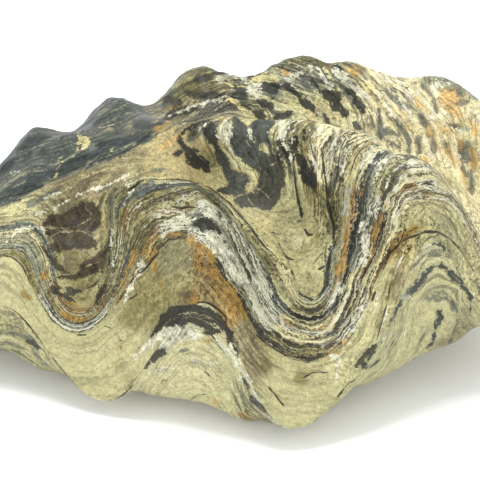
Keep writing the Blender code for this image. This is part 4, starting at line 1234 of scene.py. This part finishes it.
class Graph:
    """The nodes of one material."""

    def __init__(self, name):
        self.material = bpy.data.materials.new(name)
        self.material.use_nodes = True
        self.tree = self.material.node_tree
        self.shader = self.tree.nodes["Principled BSDF"]
        self.object = self.node("ShaderNodeTexCoord", {}, {}, "Object")

    def node(self, kind, settings, inputs, output=0):
        """A node of that type: its settings first, then the values or links of its sockets."""
        made = self.tree.nodes.new(kind)
        for key, value in settings.items():
            if key == "stops":
                self.fill(made.color_ramp, value)
            else:
                setattr(made, key, value)
        for key, value in inputs.items():
            self.feed(made.inputs[key], value)
        return Value(self, made.outputs[output])

    def feed(self, socket, value):
        """A link where the value is a socket, else the socket's own value."""
        if isinstance(value, Value):
            self.tree.links.new(value.socket, socket)
        elif socket.type == "RGBA" and len(value) == 3:
            socket.default_value = (*value, 1.0)
        else:
            socket.default_value = value

    def look(self, inputs):
        """Values or links of the shader's own sockets, by name."""
        for key, value in inputs.items():
            self.feed(self.shader.inputs[key], value)

    def fill(self, ramp, stops):
        """The stops of a stepped colour ramp: (position, colour)."""
        ramp.interpolation = "CONSTANT"
        while len(ramp.elements) < len(stops):
            ramp.elements.new(1.0)
        for element, (position, colour) in zip(ramp.elements, stops):
            element.position = position
            element.color = (*colour, 1.0)

    def attribute(self, name, output="Fac"):
        return self.node("ShaderNodeAttribute", {"attribute_name": name}, {}, output)

    def noise(self, scale, detail, roughness, layer=None):
        """Noise about 0, mostly within 0.2 of it, of 1 / scale metres. With a layer it also
        changes once with each unit of that, so that it lies in sheets."""
        settings = {"noise_dimensions": "3D" if layer is None else "4D"}
        inputs = {"Vector": self.object, "Scale": scale, "Detail": detail, "Roughness": roughness}
        if layer is not None:
            inputs["W"] = layer * (1.0 / scale)
        return self.node("ShaderNodeTexNoise", settings, inputs) - 0.5

    def mix(self, factor, a, b):
        """Colour a, and b where the factor is 1."""
        return self.node("ShaderNodeMix", {"data_type": "RGBA"}, {0: factor, 6: a, 7: b}, 2)

    def tint(self, colour, brightness):
        """The colour times a brightness."""
        return self.node("ShaderNodeVectorMath", {"operation": "SCALE"}, {0: colour, "Scale": brightness})

    def inside(self, kind):
        """How far inside the strokes of a kind a point lies, in pixels. A thin stroke is read
        from its middle line, where its edge is no more than THIN_REACH away."""
        nearest = self.attribute(kind, "Vector")
        edge, side, half = (
            self.node("ShaderNodeSeparateXYZ", {}, {0: nearest}, axis) for axis in range(3))
        across = half - side.largest(0.0 - side)
        return (0.0 - edge).largest(across.least(THIN_REACH - edge))


# Noises of the stone: cells to the metre, octaves and roughness
SPECKS = {"coarse": (150.0, 4.0, 0.6), "middle": (420.0, 4.0, 0.6), "fine": (1300.0, 3.0, 0.6),
          "grit": (3600.0, 2.0, 0.6)}

# Noises that lie in sheets along the layers: cells to the metre, octaves, roughness, and how
# often they change over one level
SHEETS = {"sheets": (38.0, 3.0, 0.6, 0.30), "dashes": (170.0, 3.0, 0.65, 0.42),
          "broad": (22.0, 3.0, 0.5, 0.12), "threads": (60.0, 3.0, 0.7, 0.62)}

# Share of each noise in what it makes uneven
UNEVEN = {
    "level": {"coarse": 9.0, "middle": 6.0, "fine": 2.0},
    "grain": {"coarse": 0.7, "middle": 1.4, "fine": 3.2, "grit": 2.8},
    "stripes": {"sheets": 1.6, "dashes": 2.2},
    "layer": {"broad": 1.0, "dashes": 0.25, "fine": 0.2},
    "pale layer": {"dashes": 2.0, "fine": 2.0},
    "dark layer": {"dashes": 3.0, "fine": 2.0},
    "pale line": {"sheets": 0.8, "dashes": 0.9, "fine": 0.3},
    "dark line": {"sheets": -0.8, "dashes": -0.9, "fine": 0.3},
    "band edge": {"middle": 1.5, "fine": 0.8},
    "log station": {"coarse": 1.6, "middle": 0.8},
    "log level": {"dashes": 24.0, "sheets": 18.0, "fine": 4.0, "grit": 2.0},
    "log shade": {"dashes": 2.0, "threads": 2.5, "fine": 1.6, "grit": 1.2},
    "thread": {"threads": 1.1, "dashes": 0.6, "fine": 0.6, "grit": 0.6},
    "mark edge": {"coarse": 8.0, "middle": 12.0, "fine": 9.0, "grit": 5.0, "dashes": 5.0},
    "mark shade": {"middle": 2.0, "fine": 2.2, "grit": 1.6, "dashes": 3.5},
    "polish": {"fine": 0.3, "middle": 0.15},
    "layer height": {"sheets": 0.5, "dashes": 0.5},
    "speck height": {"middle": 0.5, "fine": 0.4, "grit": 0.2},
}

# What shows where its noise is high: the value at which it begins, that at which it is whole,
# and how well it covers
SHOWN = {"pale layer": (0.03, 0.07, 0.8), "dark layer": (0.05, 0.09, 0.85), "pale line": (0.06, 0.13, 0.75),
         "dark line": (0.05, 0.11, 0.85), "pale thread": (0.11, 0.17, 0.6), "dark thread": (0.07, 0.12, 0.85)}

# Strength of the layers from which the broad ones begin to show and at which they are whole
STRONG = (0.45, 0.95)

# Brightness of the broad layers, and the share of cream in the pale ones
PALE_BRIGHTNESS, DARK_BRIGHTNESS = 1.5, 1.2
PALE_CREAM = 0.22

# Half width over which one logged station gives way to the next, and over which the band ends
LOG_CHANGE = 0.3
BAND_BLUR = 0.08

# Levels that the logs' ramps span
LOWEST, HIGHEST = -8.0, 112.0

# Kinds of mark in the order in which they lie over each other: the colour, how well it covers,
# how far it grows beyond its stroke and how blurred its edge is in pixels, and how much noise
# breaks that edge
KINDS = [
    ("ochre", "orange", 0.85, 0.0, 0.9, 1.2), ("rust", "rust", 0.80, 0.0, 0.9, 1.3),
    ("grey", "slate", 0.80, 0.0, 0.6, 1.0), ("cream", "yellow", 0.90, 0.0, 0.6, 1.0),
    ("dark", "dark_tone", 0.95, 0.7, 0.4, 1.0), ("pale", "off white", 0.82, 0.1, 0.6, 0.9),
    ("vein", "tan", 0.8, 0.0, 0.5, 0.2), ("line", "black", 0.92, 0.0, 0.4, 0.25),
]

# The stone's brightness, gloss and roughness, and its bumps' strength and height in metres
BRIGHTNESS = 0.60
GLOSS = 0.2
ROUGHNESS = 0.42
BUMP = {"Strength": 0.4, "Distance": 0.0004}


class Stone(Graph):
    """The nodes of a valve's stone, with its noises by name."""

    def __init__(self, name):
        super().__init__(name)
        self.noises = {key: self.noise(*numbers) for key, numbers in SPECKS.items()}
        self.bent = self.attribute("level") + self.uneven("level")
        self.striped = self.attribute("striped")
        self.add_sheets("sheets", "dashes")

    def add_sheets(self, *keys):
        """Noises that lie in sheets along the bent levels."""
        for key in keys:
            *numbers, changes = SHEETS[key]
            self.noises[key] = self.noise(*numbers, self.bent * changes)

    def uneven(self, effect):
        """The noises, each times its share in the effect."""
        return sum(self.noises[key] * share for key, share in UNEVEN[effect].items())

    def shown(self, effect, value):
        """How well that covers where its noise has the value."""
        low, high, cover = SHOWN[effect]
        return value.step(low, high) * cover


def ground_colour(g):
    """Colour outside the band: the ground and its grain, broad pale and dark layers where the
    layers are strong, and thin lines along them."""
    ground = g.attribute("ground", "Color")
    colour = g.tint(ground, 1.0 + g.uneven("grain") * g.attribute("grain"))
    colour = g.tint(colour, 1.0 + g.uneven("stripes") * g.striped)

    g.add_sheets("broad")
    layer, strong = g.uneven("layer"), g.striped.step(*STRONG)
    pale = g.mix(PALE_CREAM, g.tint(ground, PALE_BRIGHTNESS), linear("cream"))
    pale = g.tint(pale, 1.0 + g.uneven("pale layer"))
    dark = g.tint(g.attribute("dark_tone", "Color"), DARK_BRIGHTNESS + g.uneven("dark layer"))
    colour = g.mix(g.shown("pale layer", layer) * strong, colour, pale)
    colour = g.mix(g.shown("dark layer", 0.0 - layer) * strong, colour, dark)

    for effect, hue in ("dark line", "charcoal"), ("pale line", "cream"):
        colour = g.mix(g.shown(effect, g.uneven(effect)) * g.striped, colour, linear(hue))
    return colour


def banded(g, level, station):
    """Colour of the layers by the logs: a ramp over the level at each logged station, one
    giving way to the next half way between two stations."""
    place = (level - LOWEST) * (1.0 / (HIGHEST - LOWEST))
    colour, before = None, 0.0
    for at, layers in LOGS:
        stops = [((low - LOWEST) / (HIGHEST - LOWEST), linear(name)) for low, name in layers]
        stops[0] = (0.0, stops[0][1])
        ramp = g.node("ShaderNodeValToRGB", {"stops": stops}, {0: place})
        if colour is None:
            colour = ramp
        else:
            change = 0.5 * (at + before)
            colour = g.mix(station.step(change - LOG_CHANGE, change + LOG_CHANGE), colour, ramp)
        before = at
    return colour


def band_colour(g):
    """Colour of the band: the logged layers, bent by the noises, and threads along them."""
    g.add_sheets("threads")
    station = g.attribute("station") + g.uneven("log station")
    colour = banded(g, g.bent + g.uneven("log level"), station)
    colour = g.tint(colour, 1.0 + g.uneven("log shade"))
    thread = g.uneven("thread")
    colour = g.mix(g.shown("pale thread", thread), colour, linear("white"))
    return g.mix(g.shown("dark thread", 0.0 - thread), colour, linear("charcoal"))


def marked(g, colour):
    """The colour with the marks over it, each with an edge broken by noise."""
    ragged, shade = g.uneven("mark edge"), 1.0 + g.uneven("mark shade")
    for kind, hue, strength, growth, blur, wear in KINDS:
        cover = (g.inside(kind) + ragged * wear + growth).step(-blur, blur) * strength
        mark = g.attribute(hue, "Color") if hue == "dark_tone" else linear(hue)
        colour = g.mix(cover, colour, g.tint(mark, shade))
    return colour


def stone(name, with_logs):
    """Polished banded stone: ground colour, the band's layers, then the traced marks."""
    g = Stone(name)
    colour = ground_colour(g)
    if with_logs:
        inside = g.attribute("banded") + g.uneven("band edge")
        colour = g.mix(inside.step(-BAND_BLUR, BAND_BLUR), colour, band_colour(g))
    height = g.uneven("layer height") * g.striped + g.uneven("speck height")
    g.look({"Base Color": g.tint(marked(g, colour), BRIGHTNESS),
            "Specular IOR Level": GLOSS,
            "Roughness": ROUGHNESS + g.uneven("polish"),
            "Normal": g.node("ShaderNodeBump", {}, {**BUMP, "Height": height})})
    return g.material


def open_crack(rho, turn):
    """Height that open places add to half the crack: a bell along the edge round each place,
    falling off from the edge with a power of rho."""
    x, y = plan(np.ones_like(turn), turn)
    edge = seen(np.stack([x, y, joint(x, y, np.ones_like(x))], axis=-1))
    bell = 0.0
    for across, down, half_length in OPEN_CRACK:
        square = (edge[..., 0] - across) ** 2 + (edge[..., 1] - down) ** 2
        bell = np.maximum(bell, np.exp(-square / half_length ** 2))
    return OPENING * bell * rho ** OPENING_POWER


def near_levels(face):
    """Levels of the layers and stations of the logs on the upper valve's near side."""
    feet = settle([station[:2] for station in STATIONS], face)
    tops = settle([station[2:] for station in STATIONS], face)
    number = np.arange(len(STATIONS), dtype=float)
    places, levels = lines_on(LEVEL_LINES, face)
    places = np.concatenate([feet, 0.5 * (feet + tops), tops, places])
    levels = np.concatenate([np.repeat([0.0, 0.5 * BAND, BAND], len(number)), levels])
    station_places, marks = lines_on(STATION_MARKS, face)
    station_places = np.concatenate([feet, tops, station_places])
    marks = np.concatenate([number, number, marks])
    return field(places, levels, face), field(station_places, marks, face)


def far_levels(face, points):
    """Levels of the layers on the upper valve's far side."""
    places, levels = lines_on(FAR_LINES, face)
    for level, line in FAR_RINGS:
        for x, y in line:
            nearest = np.argmin((points[:, 0] - x) ** 2 + (points[:, 1] - y) ** 2)
            places, levels = np.vstack([places, face[nearest]]), np.append(levels, level)
    return field(places, levels, face)


def upper_fields(surface, points):
    """What the stone of the upper valve reads at each point, worked out on the near side and on
    the far side of the limit between them."""
    edge_x, edge_y = np.array(FAR_EDGE).T
    far = points[:, 1] - np.interp(points[:, 0], edge_x, edge_y) > 0.0
    near_face, far_face = surface[~far], surface[far]
    level, station = near_levels(near_face)
    over_roll = ease((station - ROLL_STATION) / ROLL_CHANGE)
    top_level = BAND_TOP + (ROLL_LEVEL - BAND_TOP) * over_roll
    within = np.clip(np.minimum(level, top_level - level) / BAND_FADE, -1.0, 1.0)

    def sides(near_values, far_values):
        """Values over the whole outside from those of its two sides."""
        values = np.empty((len(surface), *near_values.shape[1:]))
        values[~far], values[far] = near_values, far_values
        return values

    fields = {
        "level": sides(level, far_levels(far_face, points[far])),
        "station": sides(station, 0.0),
        "banded": sides(within, -1.0),
        "grain": sides(number_on(GRAIN, near_face), FAR_GRAIN),
        "striped": sides(number_on(STRIPES, near_face), number_on(FAR_STRIPES, far_face)),
        "ground": sides(colours_on(GROUND, near_face), colours_on(FAR_GROUND, far_face)),
        "dark_tone": sides(colours_on(DARK_TONES, near_face), colours_on(FAR_TONES, far_face)),
    }
    for kind, *_ in KINDS:
        near_marks = strokes_on(kind, [MARKS, SHARED_MARKS], near_face)
        fields[kind] = sides(near_marks, strokes_on(kind, [FAR_MARKS], far_face))
    return fields


def lower_fields(surface, points):
    """What the stone of the lower valve reads at each point."""
    ring = border()[::RIM_STRIDE]
    rim_x, rim_y = points[ring, 0], points[ring, 1]
    places, levels = lines_on(LOWER_LINES, surface)
    for level, share, all_round in LOWER_RINGS:
        chosen = (rim_y > 0.0) | all_round
        x, y = rim_x[chosen] * share, rim_y[chosen] * share
        z = lower_outside(x, y, np.full(len(x), share))
        places = np.concatenate([places, seen(np.stack([x, y, z], axis=-1))])
        levels = np.concatenate([levels, np.full(len(x), level)])
    fields = {
        "level": field(places, levels, surface),
        "grain": np.full(len(surface), LOWER_GRAIN),
        "striped": number_on(LOWER_STRIPES, surface),
        "ground": colours_on(LOWER_GROUND, surface),
        "dark_tone": colours_on(LOWER_TONES, surface),
    }
    for kind, *_ in KINDS:
        fields[kind] = strokes_on(kind, [LOWER_MARKS, SHARED_MARKS], surface)
    return fields


def relief(points, fields):
    """Height of the stone's roughness along its normals: three sizes of lumps, layers that stand
    a little proud of each other, and cracks."""
    lumps = sum(height * rough(points / size, seed) for size, height, seed in LUMPS)
    along, level = points[:, :2] / LEDGE_LENGTH, fields["level"] / LEDGE_LEVELS
    ledges = LEDGE_HEIGHT * rough(np.column_stack([along, level]), LEDGE_SEED) * fields["striped"]
    return lumps + ledges - CRACK_DEPTH * np.exp(-np.maximum(fields["line"][:, 0], 0.0) ** 2)


def faces_of(first_of_inside):
    """Quads of the outside's grid and of the rings inside, and the fan that closes the middle."""
    cell = (np.arange(ALONG)[:, None] * (ACROSS + 1) + np.arange(ACROSS)).ravel()
    quads = [np.stack([cell, cell + ACROSS + 1, cell + ACROSS + 2, cell + 1], axis=1)]
    ring, count = border(), first_of_inside
    for _ in range(1, INNER_RINGS):
        following = count + np.arange(len(ring))
        quads.append(np.stack([ring, following, np.roll(following, -1), np.roll(ring, -1)], axis=1))
        ring, count = following, count + len(ring)
    return np.concatenate(quads), np.stack([ring, np.full(len(ring), count), np.roll(ring, -1)], axis=1)


def body(name, points, quads, fan):
    """A mesh of those points, quads and triangles."""
    mesh = bpy.data.meshes.new(name)
    corners = np.concatenate([quads.ravel(), fan.ravel()]).astype(np.int32)
    starts = np.concatenate([np.arange(len(quads)) * 4, len(quads) * 4 + np.arange(len(fan)) * 3])
    mesh.vertices.add(len(points))
    mesh.vertices.foreach_set("co", points.astype(np.float32).ravel())
    mesh.loops.add(len(corners))
    mesh.loops.foreach_set("vertex_index", corners)
    mesh.polygons.add(len(starts))
    mesh.polygons.foreach_set("loop_start", starts.astype(np.int32))
    mesh.update(calc_edges=True)
    mesh.validate()
    mesh.shade_smooth()
    return mesh


def store(mesh, key, values):
    """Values as an attribute of the mesh; the points of the inner face, which come after those
    of the outside, take the last value."""
    rest = len(mesh.vertices) - len(values)
    values = np.concatenate([values, np.repeat(values[-1:], rest, axis=0)]).astype(np.float32)
    if values.ndim == 1:
        mesh.attributes.new(key, "FLOAT", "POINT").data.foreach_set("value", values)
    elif key in ("ground", "dark_tone"):
        colours = np.column_stack([values, np.ones(len(values), np.float32)])
        mesh.attributes.new(key, "FLOAT_COLOR", "POINT").data.foreach_set("color", colours.ravel())
    else:
        mesh.attributes.new(key, "FLOAT_VECTOR", "POINT").data.foreach_set("vector", values.ravel())


def inner_face(turn, sign):
    """Points of the rings that close a valve from its edge to the middle, along the joint."""
    rings = []
    for k in range(1, INNER_RINGS):
        rho = np.full(len(turn), 1.0 - (k / INNER_RINGS) ** INNER_POWER)
        x, y = plan(rho, turn)
        height = joint(x, y, rho) + sign * (HALF_CRACK + open_crack(rho, turn))
        rings.append(np.stack([x, y, height], axis=1))
    rings.append(np.array([[0.0, 0.0, joint(0.0, 0.0, 0.0) + sign * HALF_CRACK]]))
    return np.concatenate(rings)


def valve(name, is_upper, material):
    """One valve: the grid moved onto the outside and roughened along its normals, and the inner
    face that closes it."""
    rho, turn = disc()
    x, y = plan(rho, turn)
    sign = 1.0 if is_upper else -1.0
    outside = upper_outside if is_upper else lower_outside
    half = HALF_CRACK * rho ** CRACK_POWER + open_crack(rho, turn)
    grid = np.stack([x, y, outside(x, y, rho) + sign * half], axis=-1)
    normal, points = sign * outward(grid).reshape(-1, 3), grid.reshape(-1, 3)
    fields = (upper_fields if is_upper else lower_fields)(seen(points), points)
    fade = 1.0 - rho.reshape(-1, 1) ** EDGE_POWER
    points = points + normal * relief(points, fields)[:, None] * fade
    points[:, 2] = np.maximum(points[:, 2], 0.0)

    quads, fan = faces_of(len(points))
    if not is_upper:
        quads, fan = quads[:, ::-1], fan[:, ::-1]
    points = np.concatenate([points, inner_face(turn.reshape(-1)[border()], sign)])
    mesh = body(name, points, quads, fan)
    for key, values in fields.items():
        store(mesh, key, values)
    mesh.materials.append(material)
    piece = bpy.data.objects.new(name, mesh)
    bpy.context.scene.collection.objects.link(piece)
    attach(piece, "root")
    return piece


upper = valve("upper_valve_stone", True, stone("banded stone", True))
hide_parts("upper_valve")

lower = valve("lower_valve_stone", False, stone("pale stone", False))
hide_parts("lower_valve")

# The white sheet under the shell: half its side in metres, its corners in halves, and its look
FLOOR_HALF = 3.0
FLOOR_CORNERS = [(-1, -1), (1, -1), (1, 1), (-1, 1)]
FLOOR_LOOK = {"Base Color": (0.95, 0.97, 1.0), "Roughness": 0.9, "Specular IOR Level": 0.1,
              "Emission Color": (1.0, 1.0, 1.0), "Emission Strength": 0.08}

# Square soft lights: place, side and power, and the place that they are turned to
LAMPS = {"key": ((-0.13, -0.07, 0.83), 0.24, 4.5), "fill": ((-0.6, -0.5, 0.35), 0.5, 0.62)}
AIM = (0.0, 0.0, 0.02)

# Strength of the white world, and the camera's sensor in millimetres and nearest distance
WORLD_STRENGTH = 1.12
SENSOR = 36.0
NEAREST_SEEN = 0.01


def floor():
    """A plain white sheet under the shell."""
    mesh = bpy.data.meshes.new("floor")
    corners = [(x * FLOOR_HALF, y * FLOOR_HALF, 0.0) for x, y in FLOOR_CORNERS]
    mesh.from_pydata(corners, [], [(0, 1, 2, 3)])
    g = Graph("white sheet")
    g.look(FLOOR_LOOK)
    mesh.materials.append(g.material)
    sheet_piece = bpy.data.objects.new("floor", mesh)
    bpy.context.scene.collection.objects.link(sheet_piece)


def lamp(name, place, size, power):
    """A square soft light at the place, turned to the aim."""
    light = bpy.data.lights.new(name, "AREA")
    light.size, light.energy = size, power
    thing = bpy.data.objects.new(name, light)
    bpy.context.scene.collection.objects.link(thing)
    thing.location = place
    thing.rotation_euler = (Vector(AIM) - Vector(place)).to_track_quat("-Z", "Y").to_euler()


floor()
for name, numbers in LAMPS.items():
    lamp(name, *numbers)

world = bpy.data.worlds.new("studio")
world.use_nodes = True
background = world.node_tree.nodes["Background"]
background.inputs["Color"].default_value = (1.0, 1.0, 1.0, 1.0)
background.inputs["Strength"].default_value = WORLD_STRENGTH
bpy.context.scene.world = world
bpy.context.scene.view_settings.view_transform = "Standard"

camera = bpy.data.objects.new("camera", bpy.data.cameras.new("camera"))
camera.data.sensor_width = SENSOR
camera.data.lens = FOCAL / PICTURE * SENSOR
camera.data.clip_start = NEAREST_SEEN
camera.location = EYE
camera.rotation_euler = (0.5 * math.pi - TILT, 0.0, 0.0)
bpy.context.scene.collection.objects.link(camera)
bpy.context.scene.camera = camera
